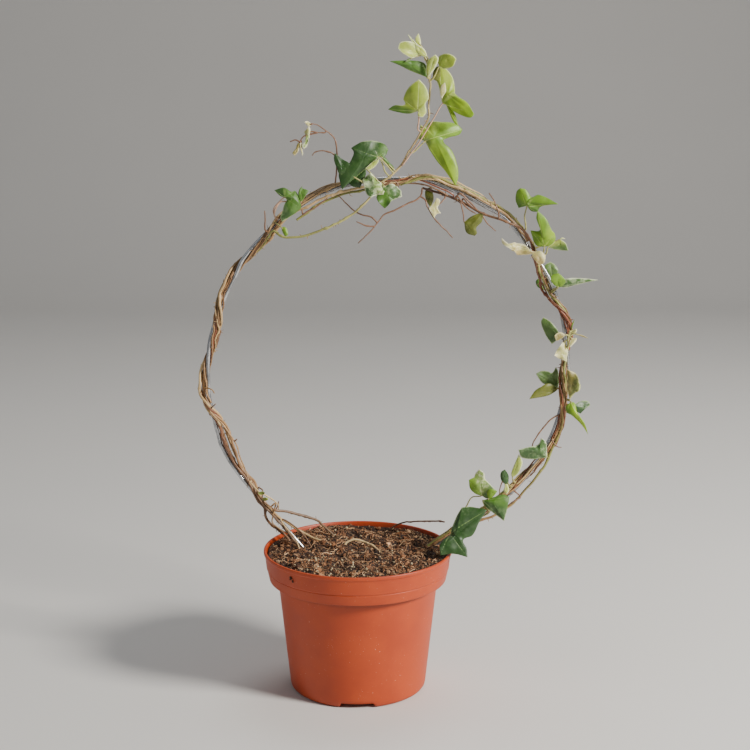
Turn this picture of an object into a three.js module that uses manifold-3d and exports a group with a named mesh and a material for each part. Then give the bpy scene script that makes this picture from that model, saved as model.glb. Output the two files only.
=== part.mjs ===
// A small ivy trained round a wire hoop in a round plastic nursery pot.
// Millimetres, +Z up. The origin is the middle of the pot's base, +X is to the
// right of the hoop as it is looked at, and the hoop stands in an X-Z plane.
//
// Angles round the hoop are in degrees from its centre: 0 is its right side,
// 90 the top and 180 the left side. Past the two ends of its round part the
// wire runs straight down into the soil, and the same angles go on along it.

import * as THREE from 'three';
import { mergeVertices } from 'three/addons/utils/BufferGeometryUtils.js';
import Module from 'manifold-3d';

const wasm = await Module();
wasm.setup();

// ---- driving dimensions ----

// Pot
const RIM_RADIUS = 60;
const POT_HEIGHT = 91;
const COLLAR_BOTTOM = 71.8;
const COLLAR_LOW_RADIUS = 56.6;
const COLLAR_ROUND = 0.8;
const COLLAR_FLOOR = 1.6;
const NECK_DROP = 1;
const NECK_FLARE = 0.6;
const BODY_TOP_RADIUS = 51;
const BASE_RADIUS = 43.4;
const BASE_CORNER = 3;
const POT_WALL = 1.6;
const FLOOR = 2;
const INNER_CORNER = 1.3;
const COLLAR_LINE = 79;
const COLLAR_LINE_STEP = 0.3;
const LIP_HEIGHT = 2.2;
const LIP_STEP = 0.5;
const NOTCHES = 3;
const NOTCH_WIDTH = 22;
const NOTCH_HEIGHT = 3.2;
const NOTCH_INNER_RADIUS = 37;
const NOTCH_CUT_PAST = 5;
const POT_SIDES = 40;

// Soil
const SOIL_TOP = 88.8;
// Waves of the top: height, waves along x and y in radians a millimetre, shift.
const SOIL_WAVES = [[0.5, 0.143, 0.167, 1.3], [0.4, 0.323, -0.233, 0]];
// Heaps and dips of the top: height, place, and half width along x and y.
const SOIL_HEAPS = [
  [-2.6, [16, 54], [14, 16]], [1, [-30, 34], [22, 20]], [0.8, [-34, -30], [20, 16]],
];
const SOIL_EDGE_PART = 0.1;
const GAP = 0.3;
const HOLE_GAP = 0.4;
const SOIL_SIDES = 30;

// Hoop of wire
const HOOP_CENTRE_X = 18.6;
const HOOP_CENTRE_Z = 207.4;
const HOOP_RADIUS = 115.8;
const HOOP_DEPTH = 12;
const HOOP_RIGHT_END = -55;
const HOOP_LEFT_END = 220;
const WIRE_RADIUS = 1.25;
const WIRE_SIDES = 7;
const WIRE_STEP = 8;
const WIRE_RIGHT_TIP = -88;
const WIRE_LEFT_TIP = 254;
// How far the hand-bent hoop is off a true circle: angle, millimetres outward.
const HOOP_KINKS = [
  [-55, 0], [-40, -0.6], [-26, -1.3], [-13, -1.9], [-1, -1.3], [9, -2], [20, -1.2],
  [30, -0.4], [40, -0.4], [52, 2.4], [60, 1.2], [69, 1.6], [80, 3.4], [88, 1.5],
  [104, 0.2], [111, -0.7], [119, -2.5], [130, -3.4], [143, -3.4], [150, -5.2],
  [158, -5.1], [166, -4], [174, -2.9], [183, -2.3], [190, -1.1], [197, -0.5],
  [202, 0.6], [206, 2.1], [213, 2.6], [220, 2.9],
];

// Stems, leaf stalks and twigs
const STEM_RADIUS = 0.9;
const TWIG_RADIUS = 0.62;
const STALK_RADIUS = 0.55;
const STEM_SIDES = 4;
const STALK_SIDES = 4;
const STEM_STEP = 5.8;
const STALK_STEP = 5.5;
const LEAF_THICKNESS = 0.9;
const STALK_INTO_BLADE = 1.3;
const BIG_LEAF = 18;
const LEAF_RING = 0.55;
const LEAF_ARCH = 0.06;

// The stems lie beside the wire as one loose bundle that winds round it: hoop
// angle, and the side that the bundle is on (0 outer, 90 front, 180 inner,
// 270 behind, and on round).
const WINDING = [
  [-90, -180], [-45, -180], [-37, -90], [-28, 0], [-20, 0], [-11, 90], [-2, 180],
  [6, 270], [13, 360], [20, 450], [26, 540], [29, 540], [36, 450], [43, 360],
  [75, 360], [81, 450], [87, 540], [93, 540], [100, 630], [107, 720], [121, 720],
  [129, 810], [136, 900], [138, 900], [145, 990], [151, 1080], [156, 1080],
  [162, 1170], [168, 1260], [172, 1260], [178, 1350], [185, 1440], [189, 1440],
  [194.5, 1530], [200.5, 1620], [220, 1620], [226, 1530], [260, 1530],
];
const WINDING_STEP = 3;

// Places in the bundle: out from the wire, and sideways.
const BUNDLE = {
  lower: [2.8, -1.1],
  upper: [2.8, 1.1],
  ridge: [4.7, 0],
  flank: [4.8, 2.5],
};

// ---- small helpers ----

const point = ([x, y, z]) => new THREE.Vector3(x, y, z);
const radians = THREE.MathUtils.degToRad;

// The value at one angle of a list of [angle, value] pairs, with straight or
// eased steps between them.
function valueAt(pairs, angle, ease = false) {
  const next = pairs.findIndex(([a]) => a > angle);
  if (next === 0) return pairs[0][1];
  if (next < 0) return pairs[pairs.length - 1][1];
  const [a0, v0] = pairs[next - 1];
  const [a1, v1] = pairs[next];
  const part = (angle - a0) / (a1 - a0);
  return v0 + (v1 - v0) * (ease ? THREE.MathUtils.smoothstep(part, 0, 1) : part);
}

// A closed geometry as a solid, with only its vertex positions kept.
function solid(geometry) {
  const bare = geometry.clone();
  bare.deleteAttribute('normal');
  bare.deleteAttribute('uv');
  const merged = mergeVertices(bare, 1e-4);
  return new wasm.Manifold(new wasm.Mesh({
    numProp: 3,
    vertProperties: new Float32Array(merged.attributes.position.array),
    triVerts: new Uint32Array(merged.index.array),
  }));
}

function geometryOf(manifold) {
  const { vertProperties, triVerts } = manifold.getMesh();
  const geometry = new THREE.BufferGeometry();
  geometry.setAttribute('position', new THREE.BufferAttribute(vertProperties, 3));
  geometry.setIndex(new THREE.BufferAttribute(triVerts, 1));
  geometry.computeVertexNormals();
  return geometry;
}

function smoothCurve(points) {
  const curve = new THREE.CatmullRomCurve3(points, false, 'centripetal');
  curve.arcLengthDivisions = points.length * 12;
  return curve;
}

// A round rod of one radius along a curve.
function rod(curve, radius, sides, step) {
  const section = new THREE.Shape();
  for (let i = 0; i < sides; i++) {
    const turn = (i / sides) * 2 * Math.PI;
    const [x, y] = [radius * Math.cos(turn), radius * Math.sin(turn)];
    if (i === 0) section.moveTo(x, y);
    else section.lineTo(x, y);
  }
  section.closePath();
  const steps = Math.max(2, Math.round(curve.getLength() / step));
  return solid(new THREE.ExtrudeGeometry(section, { steps, extrudePath: curve }));
}

function nearestOn(curve, place) {
  const samples = curve.getSpacedPoints(400);
  const distance = (p) => p.distanceToSquared(place);
  return samples.reduce((best, p) => (distance(p) < distance(best) ? p : best));
}

// ---- the hoop, and places beside it ----

// A point of the wire's middle line, with the direction that is outward there.
function hoopAt(angle) {
  const end = THREE.MathUtils.clamp(angle, HOOP_RIGHT_END, HOOP_LEFT_END);
  const turn = radians(end);
  const out = new THREE.Vector3(Math.cos(turn), 0, Math.sin(turn));
  const along = new THREE.Vector3(-out.z, 0, out.x);
  const centre = new THREE.Vector3(HOOP_CENTRE_X, HOOP_DEPTH, HOOP_CENTRE_Z);
  const middle = centre
    .addScaledVector(out, HOOP_RADIUS + valueAt(HOOP_KINKS, end, true))
    .addScaledVector(along, HOOP_RADIUS * Math.tan(radians(angle - end)));
  return { middle, out };
}

// A place beside the wire: hoop angle, distance from the wire's middle, and the
// side (0 outer, 90 front, 180 inner, 270 behind).
function beside(angle, distance, side) {
  const { middle, out } = hoopAt(angle);
  const turn = radians(side);
  return middle
    .addScaledVector(out, distance * Math.cos(turn))
    .add(new THREE.Vector3(0, -distance * Math.sin(turn), 0));
}

// A stem's points in one place of the bundle, between two hoop angles. A bulge
// [angle, extra distance, half width] lets it stand off the wire.
function wound(place, from, to, bulges = []) {
  const [away, across] = BUNDLE[place];
  const [low, high] = [Math.min(from, to), Math.max(from, to)];
  const angles = [low];
  const start = (Math.floor(low / WINDING_STEP) + 1) * WINDING_STEP;
  for (let angle = start; angle < high; angle += WINDING_STEP) angles.push(angle);
  angles.push(high);
  if (from > to) angles.reverse();
  return angles.map((angle) => {
    let out = away;
    for (const [centre, extra, half] of bulges) {
      const near = Math.max(0, 1 - Math.abs(angle - centre) / half);
      out += extra * THREE.MathUtils.smoothstep(near, 0, 1);
    }
    const lean = THREE.MathUtils.radToDeg(Math.atan2(across, out));
    return beside(angle, Math.hypot(out, across), valueAt(WINDING, angle) + lean);
  });
}

function hoopWire() {
  const points = [];
  for (let angle = WIRE_RIGHT_TIP; angle <= WIRE_LEFT_TIP; angle += WINDING_STEP) {
    points.push(hoopAt(angle).middle);
  }
  return smoothCurve(points);
}

// ---- leaves ----

// The blade: a thin plate between a leaf's edge and its heart, a point of the
// blade from which the whole edge can be seen. It is domed, and split into the
// same triangles on both faces. A big leaf has one more ring of points.
function leafBlade({ base, heart, edge }) {
  const middle = point(heart);
  const spokes = [[0, 0, 0], ...edge].map((p) => point(p).sub(middle));
  const count = spokes.length;
  const facing = new THREE.Vector3();
  spokes.forEach((p, i) => facing.add(p.clone().cross(spokes[(i + 1) % count])));
  facing.normalize();
  const longest = Math.max(...spokes.map((p) => p.length()));
  const rings = longest > BIG_LEAF ? [LEAF_RING, 1] : [1];
  middle.add(point(base));
  const at = (spoke, ring) => middle.clone().addScaledVector(spoke, ring)
    .addScaledVector(facing, longest * LEAF_ARCH * (1 - ring ** 2));
  const sheet = [at(spokes[0], 0)];
  for (const ring of rings) sheet.push(...spokes.map((spoke) => at(spoke, ring)));

  const positions = [];
  for (const side of [0.5, -0.5]) {
    for (const p of sheet) {
      positions.push(...p.clone().addScaledVector(facing, side * LEAF_THICKNESS).toArray());
    }
  }
  const under = sheet.length;
  const index = [];
  const addFaces = (p, q, r) => index.push(p, q, r, under + p, under + r, under + q);
  for (let i = 0; i < count; i++) {
    const next = (i + 1) % count;
    addFaces(0, 1 + i, 1 + next);
    for (let ring = 1; ring < rings.length; ring++) {
      const [inner, outer] = [1 + (ring - 1) * count, 1 + ring * count];
      addFaces(inner + i, outer + i, outer + next);
      addFaces(inner + i, outer + next, inner + next);
    }
    const [p, q] = [under - count + i, under - count + next];
    index.push(p, under + p, under + q, p, under + q, q);
  }
  const geometry = new THREE.BufferGeometry();
  geometry.setAttribute('position', new THREE.Float32BufferAttribute(positions, 3));
  geometry.setIndex(index);
  return solid(geometry);
}

// A leaf with its stalk, which starts inside the stem and ends in the blade.
function stalkedLeaf(leaf, stemCurve) {
  const base = point(leaf.base);
  const route = leaf.stalk.map(point);
  const root = nearestOn(stemCurve, route[0] ?? base);
  const inward = point(leaf.heart).setLength(STALK_INTO_BLADE);
  const curve = smoothCurve([root, ...route, base, base.clone().add(inward)]);
  return rod(curve, STALK_RADIUS, STALK_SIDES, STALK_STEP).add(leafBlade(leaf));
}

const places = (list) => list.map(point);

// A leaf: the base of its blade, its heart and its edge from the base round to the
// left, both measured from the base, and the points that its stalk passes.
const leaf = (base, heart, edge, stalk = []) => ({ base, heart, edge, stalk });

const twig = (list, leaves = [], twigs = []) => ({ route: places(list), leaves, twigs });

// ---- the stems: routes, leaves and side twigs ----

// Each route starts under the soil. Free stretches are lists of points.
const STEMS = [
  {
    name: 'stem_over_the_top',
    colour: '#8a6a45',
    route: [
      ...places([[-12, 31, 75], [-14.5, 30.5, 86], [-21, 27.5, 95.5], [-27, 23, 102.5],
        [-38, 18, 107.5], [-48, 14.5, 111], [-52.5, 12, 112.5]]),
      ...wound('upper', 231, 42, [[205, 0.8, 10]]),
    ],
    leaves: [],
    twigs: [
      twig([[-51.5, 12, 116], [-51, 11, 118.5]]),
    ],
  },
  {
    name: 'stem_to_top_shoot',
    colour: '#86703f',
    route: [
      ...places([[-31, 7, 75], [-36.5, 7, 87], [-44.5, 6.5, 98.5], [-50.5, 6.5, 106]]),
      ...wound('ridge', 231, 132, [[205, 4, 12], [188, 1.2, 9]]),
      ...places([[-51.5, 5.5, 293.5], [-47.5, 4, 290.5], [-43, 3, 289.5], [-37.5, 2, 289.5],
        [-32, 1.5, 290.5], [-23, 0.5, 294], [-16.5, 0, 296.5], [-7.5, 0, 301], [2, 0, 307.5],
        [9, 1, 316], [14, 2, 322], [21.5, 2, 328], [27.5, 2, 335], [32.5, 1, 343],
        [36.5, 0.5, 349.5], [40.5, 0, 356], [43.5, 0, 361], [43.5, 1, 369.5],
        [44.5, 1, 380], [44, 0, 384.5], [43, -1, 391.5], [41, -1, 398], [39, 0, 404]]),
    ],
    leaves: [
      leaf([13, 0, 338.5], [-8.5, 0.5, 0], [[4, 2, 0.5], [6, 3, 4.5], [4, 3, 7.5], [0.5, 3, 9],
        [-4, 2, 10], [-10.5, 1, 9], [-16.5, 0, 5.5], [-15, 0, 3], [-17, 0, -2.5], [-20.5, 0, -6.5],
        [-24, 0, -9.5], [-23.5, -1, -15], [-22, -1, -19.5], [-19, -1, -16.5], [-14, 0, -12.5],
        [-7.5, 0, -7]], [[17, 1, 330], [15.5, 1, 334.5]]),
      leaf([-4, -0.5, 328], [-5, 0.5, 3.5], [[0, 0, 6], [-5, 1, 9.5], [-9.5, 1, 13], [-10, 1, 9.5],
        [-8.5, 0, 4.5], [-5.5, 0, -1]]),
      leaf([5.5, 3, 331], [-4.5, 0, -6.5], [[-2.5, 0, -0.5], [-6.5, 0, -4], [-10.5, 0, -8.5],
        [-8, 0, -10.5], [-3.5, 0, -11], [-2, 0, -7.5], [0, 0, -3]], [[9, 2, 328]]),
      leaf([13.5, -1.5, 338], [-4, -0.5, -4.5], [[-3, 0, -1.5], [-8.5, -1, -6], [-6, -1, -7.5],
        [-3, 0, -5.5], [-0.5, 0, -2.5]]),
      leaf([14.5, 0, 339], [5, 1.5, -5], [[2, 1, -3.5], [4.5, 2, -6.5], [7.5, 3, -9], [8, 3, -7],
        [5, 2, -3.5], [2.5, 1, -0.5]]),
      leaf([8.5, 1, 328.5], [2, -2, -7.5], [[-5, 0, -3], [-4.5, -1, -6], [-2.5, -3, -12.5],
        [0, -4, -14.5], [3, -3, -13], [7.5, -3, -12.5], [8.5, -2, -9], [5, 0, -4.5]]),
      leaf([16.5, 0, 321], [2.5, -1, -5.5], [[-4.5, -1, -6], [-3.5, -3, -9.5], [0.5, -4, -13],
        [3.5, -3, -10.5], [5, -2, -8.5], [11, -1, -6.5], [10.5, 0, -2.5], [7.5, 1, 0],
        [4.5, 1, 1]]),
      leaf([41.5, 2, 348], [5.5, 0.5, 2], [[2.5, -1, -5], [7, -2, -11.5], [12, -3, -17.5],
        [18.5, -5, -26.5], [20, -4, -21.5], [19.5, -3, -14.5], [16, -1, -5.5], [11, 0, 0],
        [14, 2, 2], [21, 4, 4], [23, 4, 7], [19, 4, 10.5], [9.5, 4, 11.5], [3, 3, 11.5],
        [0, 2, 8.5], [-3, 2, 10], [-3.5, 1, 4.5], [-4.5, 1, 1.5]], [[33.5, 2, 341]]),
      leaf([37, -1, 366], [0.5, 1, 2.5], [[0, -1, -3], [3, -1, -3.5], [5, -1, -0.5], [4.5, 0, 4.5],
        [6.5, 1, 8], [4.5, 0, 14.5], [0.5, -1, 19], [-4.5, 0, 15.5], [-7.5, 1, 11.5], [-9, 2, 7],
        [-8, 2, 4], [-14, 4, 3.5], [-18, 6, 1], [-12.5, 4, -0.5], [-5.5, 2, -1.5]],
        [[37, -1, 355], [37.5, -1, 361]]),
      leaf([51.5, -2, 370.5], [3.5, 0, 5], [[3, -1, -1], [6, -2, -4], [12, -4, -7], [17, -6, -8],
        [19, -6, -6], [15, -5, 0.5], [8, -1, 5.5], [7.5, 2, 9.5], [6.5, 4, 15], [4, 6, 19],
        [-1, 7, 22.5], [-4.5, 5, 17.5], [-2, 3, 10], [-1, 1, 4.5]], [[46.5, -1, 365]]),
      leaf([53.5, -2, 370.5], [5, -1, -8], [[1.5, 0, -3.5], [5, -2, -11], [7.5, -2, -13],
        [6.5, -1, -8], [4, 0, -3.5]]),
      leaf([49.5, -2, 392.5], [5, -2, 4], [[3, -1, -1.5], [8, -3, 0], [10, -4, 4], [8.5, -4, 6],
        [5, -3, 7.5], [0.5, -1, 6.5], [-1, 0, 4]], [[45.5, -1, 385]]),
      leaf([42.5, 0, 386], [-10, -1, 7], [[0, 0, 4.5], [-2, 0, 8.5], [-8.5, -1, 10], [-16, -3, 10],
        [-23, -4, 9.5], [-16.5, -2, 7], [-11.5, -1, 4.5], [-4, 0, 1.5]]),
      leaf([42.5, -3, 385.5], [3, -1, 9.5], [[4, -1, 5.5], [6.5, -2, 11.5], [4.5, -2, 14],
        [0.5, -1, 11], [-1, 0, 5.5]]),
      leaf([45.5, 0, 385.5], [3, 0, 3], [[3, 0, -1.5], [5, 0, 1.5], [4, 0, 7], [1, 0, 5]],
        [[44.5, 1, 384]]),
      leaf([40, -2, 399], [-8, -2, 3], [[-0.5, 0, 3.5], [-4, -1, 6], [-7.5, -3, 8], [-14, -4, 7.5],
        [-15.5, -4, 4], [-13, -4, 1.5], [-9, -3, -1], [-6, -2, -1.5], [-3.5, -1, 0]]),
      leaf([33, -4, 397.5], [-2.5, 0, -1.5], [[-2.5, 0, -0.5], [-4, 0, -2.5], [-1.5, 0, -1.5]]),
      leaf([38.5, 0, 404.5], [-2, -0.5, 4], [[0, 0, 3], [-1.5, -1, 7.5], [-3.5, -1, 4.5],
        [-2.5, 0, 1]]),
      leaf([37, 0, 405], [-4, -0.5, 3.5], [[-3.5, -1, 3.5], [-6.5, -1, 6.5], [-5, -1, 3.5],
        [-2, 0, 0.5]]),
      leaf([42.5, -3, 397.5], [-5, -0.5, 5], [[-2, -1, 5], [-7.5, -1, 8.5], [-7, -1, 5],
        [-4, 0, 1.5]], [[42.5, -1, 395]]),
    ],
    twigs: [
      twig([[16.5, 1, 322], [22, 0, 324], [24.5, 0, 323], [25.5, 0, 320.5]]),
    ],
  },
  {
    name: 'stem_cut_at_top',
    colour: '#b89a66',
    route: [
      ...places([[-10, 5, 76], [-13.5, 7, 85.5], [-21.5, 14, 90], [-31.5, 18, 93],
        [-39, 19, 97], [-45.5, 16.5, 102.5], [-50, 11, 107.5]]),
      ...wound('flank', 231, 132, [[205, 1.6, 12], [188, 1, 9]]),
      ...places([[-44, 8, 300.5], [-37, 7.5, 305], [-30, 7, 308.5], [-21.5, 8, 313],
        [-12, 8, 316.5], [-4, 8, 318.5], [3, 8.5, 320]]),
      ...wound('lower', 91, 47),
    ],
    leaves: [],
    twigs: [
      twig([[-33.5, 5.5, 303.5], [-30.5, 5, 305.5], [-25.5, 4.5, 308], [-18, 4.5, 313.5]]),
    ],
  },
  {
    name: 'stem_with_dried_shoot',
    colour: '#7d5a3a',
    route: [
      ...places([[-42, 18, 75], [-43, 17.5, 86], [-46.5, 17, 93], [-52, 15, 98.5],
        [-57, 12, 103.5], [-59.5, 9.5, 109]]),
      ...wound('lower', 230, 106, [[191, 1, 7]]),
    ],
    leaves: [
      leaf([-44.5, 2, 314], [5, 0, -0.5], [[1.5, 0, -1.5], [0, -1, -4], [-1, -1, -7.5],
        [-2.5, -1, -12.5], [-1.5, -1, -15], [4, -1, -11.5], [10, 1, -7], [10, 1, -4], [8, 2, 2],
        [6.5, 2, 4], [4, 1, 3.5], [0, 0, 6], [-6, -1, 4.5], [-2.5, -1, 1]],
        [[-50.5, 6, 301.5], [-51.5, 5, 305.5], [-50.5, 4, 308], [-48, 3, 311]]),
      leaf([-34.5, 3, 310.5], [0, 0.5, 6.5], [[1.5, 0, 2], [3, 0, 4.5], [5, 1, 7.5], [2.5, 1, 8.5],
        [1, 1, 9], [1, 1, 10.5], [-1, 0, 8], [-1.5, 0, 4.5]],
        [[-51, 5, 303.5], [-47, 3.5, 311], [-40, 3.5, 311]]),
      leaf([-46.5, 0, 296], [2.5, 0, -3], [[0.5, 0, -2.5], [2, 0, -5.5], [4, 0, -5], [4, 0, -2.5],
        [2.5, 0, 0]], [[-50, 5, 298]]),
    ],
    twigs: [
      twig([[-57, 7, 293.5], [-57, 7, 299.5], [-57, 7, 305.5]]),
      twig([[-13.5, 14, 322.5], [-12.5, 12, 330], [-12.5, 11, 339.5], [-13, 10, 346.5],
        [-14, 10, 349.5], [-16, 9, 352], [-19.5, 8, 354.5], [-24, 8, 357.5],
        [-28, 7, 358.5]], [
        leaf([-27.5, 7, 358], [-3, 0, 0.5], [[-1, 0, 1], [-3, 0, 2], [-4.5, -1, 1.5], [-3.5, 0, 0],
          [-2, 0, -1.5]]),
      ], [
        twig([[-13, 10, 338.5], [-16, 9, 341], [-22, 8, 342], [-26, 7.5, 341], [-27.5, 7, 339]]),
        twig([[-19.5, 8, 353], [-24, 7, 353]], [
          leaf([-28.5, 7, 353.5], [-1, -0.5, -4], [[0, 0, 2], [-1, 0, 3.5], [-2, 0, 2], [-4, 1, 0],
            [-3, 0, -2.5], [-3.5, -1, -6], [-5, -1, -8], [-4, -1, -10.5], [-2, -1, -8.5],
            [-1, -1, -5.5], [-0.5, 0, -3]]),
        ], [
          twig([[-32.5, 6.5, 350.5], [-35, 7, 347.5]], [
            leaf([-34.5, 7, 347.5], [-2.5, -0.5, -5], [[-2, 0, -1], [-3, 0, -4], [-5, -1, -7],
              [-3.5, -1, -8.5], [-1.5, -1, -6], [-0.5, 0, -3]]),
            leaf([-34, 7.5, 348], [0, -1, -5.5], [[-1, -1, -1.5], [-0.5, -1, -5.5], [0.5, -1, -9],
              [1, -1, -8], [0.5, -1, -4.5]]),
          ], [
            twig([[-37.5, 7, 348.5], [-41, 7, 347.5]]),
          ]),
        ]),
      ]),
    ],
  },
  {
    name: 'stem_with_hanging_twigs',
    colour: '#9a6f4b',
    route: [
      beside(-83, 3.2, -110), beside(-70, 3.2, -115), beside(-62, 3.8, -55),
      beside(-55, 4.5, 0), beside(-49, 5.5, 0), beside(-43, 5.2, 10), beside(-37, 5.2, 30),
      beside(-32, 5.3, 28), ...wound('flank', -28, 42, [[27, 3, 5]]),
      beside(47, 5.2, 60), beside(52, 5, 110), beside(58, 4.6, 160),
      beside(66, 4.6, 180), beside(73, 5, 180), beside(79, 5.4, 180),
    ],
    leaves: [
      leaf([110.5, 2.5, 280], [-15, -2, 2.5], [[-4.5, 0, 1.5], [-8.5, -1, 5.5], [-13.5, -2, 6.5],
        [-18, -3, 6], [-22, -4, 9.5], [-20.5, -4, 5.5], [-16, -4, 2], [-11.5, -3, -1],
        [-4.5, -1, -1]]),
      leaf([66, 6, 298.5], [4, 0, -2.5], [[1.5, 0, -6.5], [6.5, 0, -8.5], [8, 0, -7],
        [7.5, 0, -3.5], [11, 0, 0.5], [11.5, -1, 6], [5, 0, 4]],
        [[63.5, 8, 311.5], [65.5, 6.5, 303]]),
      leaf([50.5, 6, 309.5], [-3, -1, -2], [[0.5, -1, 2.5], [-1.5, -1, 4], [-3, -1, 1.5],
        [-6.5, -2, -2.5], [-3, -2, -8.5], [-1.5, -1, -6], [1, -1, -5.5], [-1, -1, -2]],
        [[54, 8.5, 313]]),
      leaf([46, 17, 319.5], [-1.5, 0, -7.5], [[-3.5, 0, -2], [-3.5, 0, -7.5], [-0.5, 0, -13],
        [1.5, 0, -7.5]]),
    ],
    twigs: [
      twig([[61.5, 9, 314.5], [65, 7, 310], [69.5, 5, 306], [73, 3, 304]]),
      twig([[65.5, 9, 312.5], [69.5, 8, 308.5], [74.5, 6, 305.5], [79.5, 4, 303]]),
      twig([[63, 9, 316], [69.5, 9, 310.5], [77.5, 7, 302], [80.5, 6, 297.5], [85.5, 5, 293]]),
      twig([[81, 5, 316.5], [84.5, 4.5, 311], [87, 4, 304.5]]),
      twig([[38.5, 8, 314], [29.5, 6, 309], [23.5, 5, 306], [16.5, 5, 303], [14, 5, 299.5],
        [9, 5, 294], [0.5, 5, 285.5]], [], [
        twig([[10.5, 5, 296], [5.5, 4.5, 296.5], [-0.5, 4, 299]]),
        twig([[9, 5, 301.5], [2, 5.5, 303.5], [-3, 6, 306], [-7.5, 8, 310.5], [-12, 9.5, 315]]),
        twig([[42, 7, 312], [43, 6, 308.5], [46, 5, 303.5], [51, 4, 297], [55, 4, 293],
          [59, 4, 289]]),
      ]),
    ],
  },
  {
    name: 'stem_leafy_high',
    colour: '#8f7a45',
    route: [
      ...wound('ridge', -83, 92),
      beside(97, 4.8, 180), beside(103, 4.8, 180), beside(109, 4.7, 180),
      beside(115, 4.8, 178), beside(119, 6, 190), beside(122, 8.5, 200),
    ],
    leaves: [
      leaf([104.5, 6, 308.5], [-0.5, -2, 3], [[2.5, -2, -3], [6.5, -2, -3.5], [8, -2, -0.5],
        [13.5, -4, 1], [19, -5, 1.5], [12.5, -4, 5], [6.5, -3, 7], [2.5, -2, 5.5], [1, -2, 7.5],
        [-1.5, -2, 10.5], [-4.5, -2, 11], [-6.5, -1, 9], [-7, 0, 3.5], [-5, 1, -1.5],
        [-2, 0, -0.5]], [[104.5, 11, 293.5], [103.5, 8, 302.5]]),
      leaf([115.5, 3, 283.5], [-0.5, -0.5, 5.5], [[3.5, 0, 1], [6.5, -1, 4.5], [6, -1, 8.5],
        [4, -1, 11], [0.5, -2, 17.5], [-5, -3, 22.5], [-5.5, -2, 17.5], [-3, 0, 10.5],
        [-8.5, 2, 10], [-7.5, 2, 6], [-5, 1, 1]], [[114.5, 10, 274.5], [115, 7, 278]]),
      leaf([118, 6, 283], [7.5, 0, 1.5], [[4.5, 0, -1.5], [12.5, -2, -2], [11, -1, 2.5],
        [7.5, 2, 5], [3, 1, 2.5]], [[117, 8, 278.5]]),
      leaf([125, 7, 287.5], [2.5, 0, 1], [[2, 0, 0.5], [4, 0, 0.5], [1.5, 0, 1.5]]),
      leaf([122.5, 20, 261.5], [-0.5, 0.5, 7], [[3, 0, 2.5], [4, 0, 5.5], [1.5, 1, 9],
        [-1, 2, 10.5], [-4.5, 1, 8.5], [-5, 0, 5.5]], [[118, 16.5, 258.5]]),
      leaf([124.5, 4, 258], [-0.5, -1, 5], [[2.5, -1, 1], [4.5, -1, 4.5], [0, -2, 9.5],
        [-4.5, -2, 7.5], [-4, -1, 3.5]]),
      leaf([124.5, 5, 258.5], [6.5, -0.5, 2.5], [[5, 0, -0.5], [13.5, -1, 2], [25, -2, 4.5],
        [13.5, -1, 5.5], [3, 0, 4.5]]),
      leaf([118, 20, 254.5], [-3.5, 0.5, 4], [[-1, 0, 3.5], [-4, 1, 7], [-5.5, 1, 5],
        [-4, 0, 1.5]]),
      leaf([128.5, 19, 224], [-7.5, 1.5, 6], [[-1, 0, 4], [-6, 1, 10], [-10.5, 3, 12.5],
        [-12, 3, 10], [-9.5, 2, 2.5], [-5, 1, -4.5]]),
    ],
  },
  {
    name: 'stem_leafy_middle',
    colour: '#9c6546',
    route: wound('upper', -83, 38),
    leaves: [
      leaf([127.5, 16.5, 192], [-4.5, -0.5, 5.5], [[0.5, 0, 5], [0, 0, 10.5], [-1.5, 0, 13.5],
        [-4, -1, 10], [-6.5, -1, 11], [-11.5, -1, 11], [-14.5, -2, 9.5], [-9.5, -1, 3]]),
      leaf([127.5, 12, 192.5], [-10.5, -1.5, -1.5], [[-6.5, -1, 3.5], [-11.5, -2, 1.5],
        [-15.5, -3, -1], [-19, -4, -6], [-8, -2, -4.5], [-2, 0, -2]]),
      leaf([119.5, 3, 149.5], [-5, -1, 4.5], [[0.5, 0, 5], [-0.5, 0, 10.5], [-3.5, 0, 13],
        [-5.5, 0, 8.5], [-11, -1, 7.5], [-18, -3, 6], [-15.5, -2, 0.5], [-8, -1, -0.5]]),
    ],
  },
  {
    name: 'stem_leafy_low',
    colour: '#7f7440',
    route: [
      ...wound('lower', -83, -4),
      ...places([[130.5, 8, 207], [131.5, 6.5, 214], [132, 5.5, 221], [132, 4.5, 227],
        [133, 4, 231]]),
    ],
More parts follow.
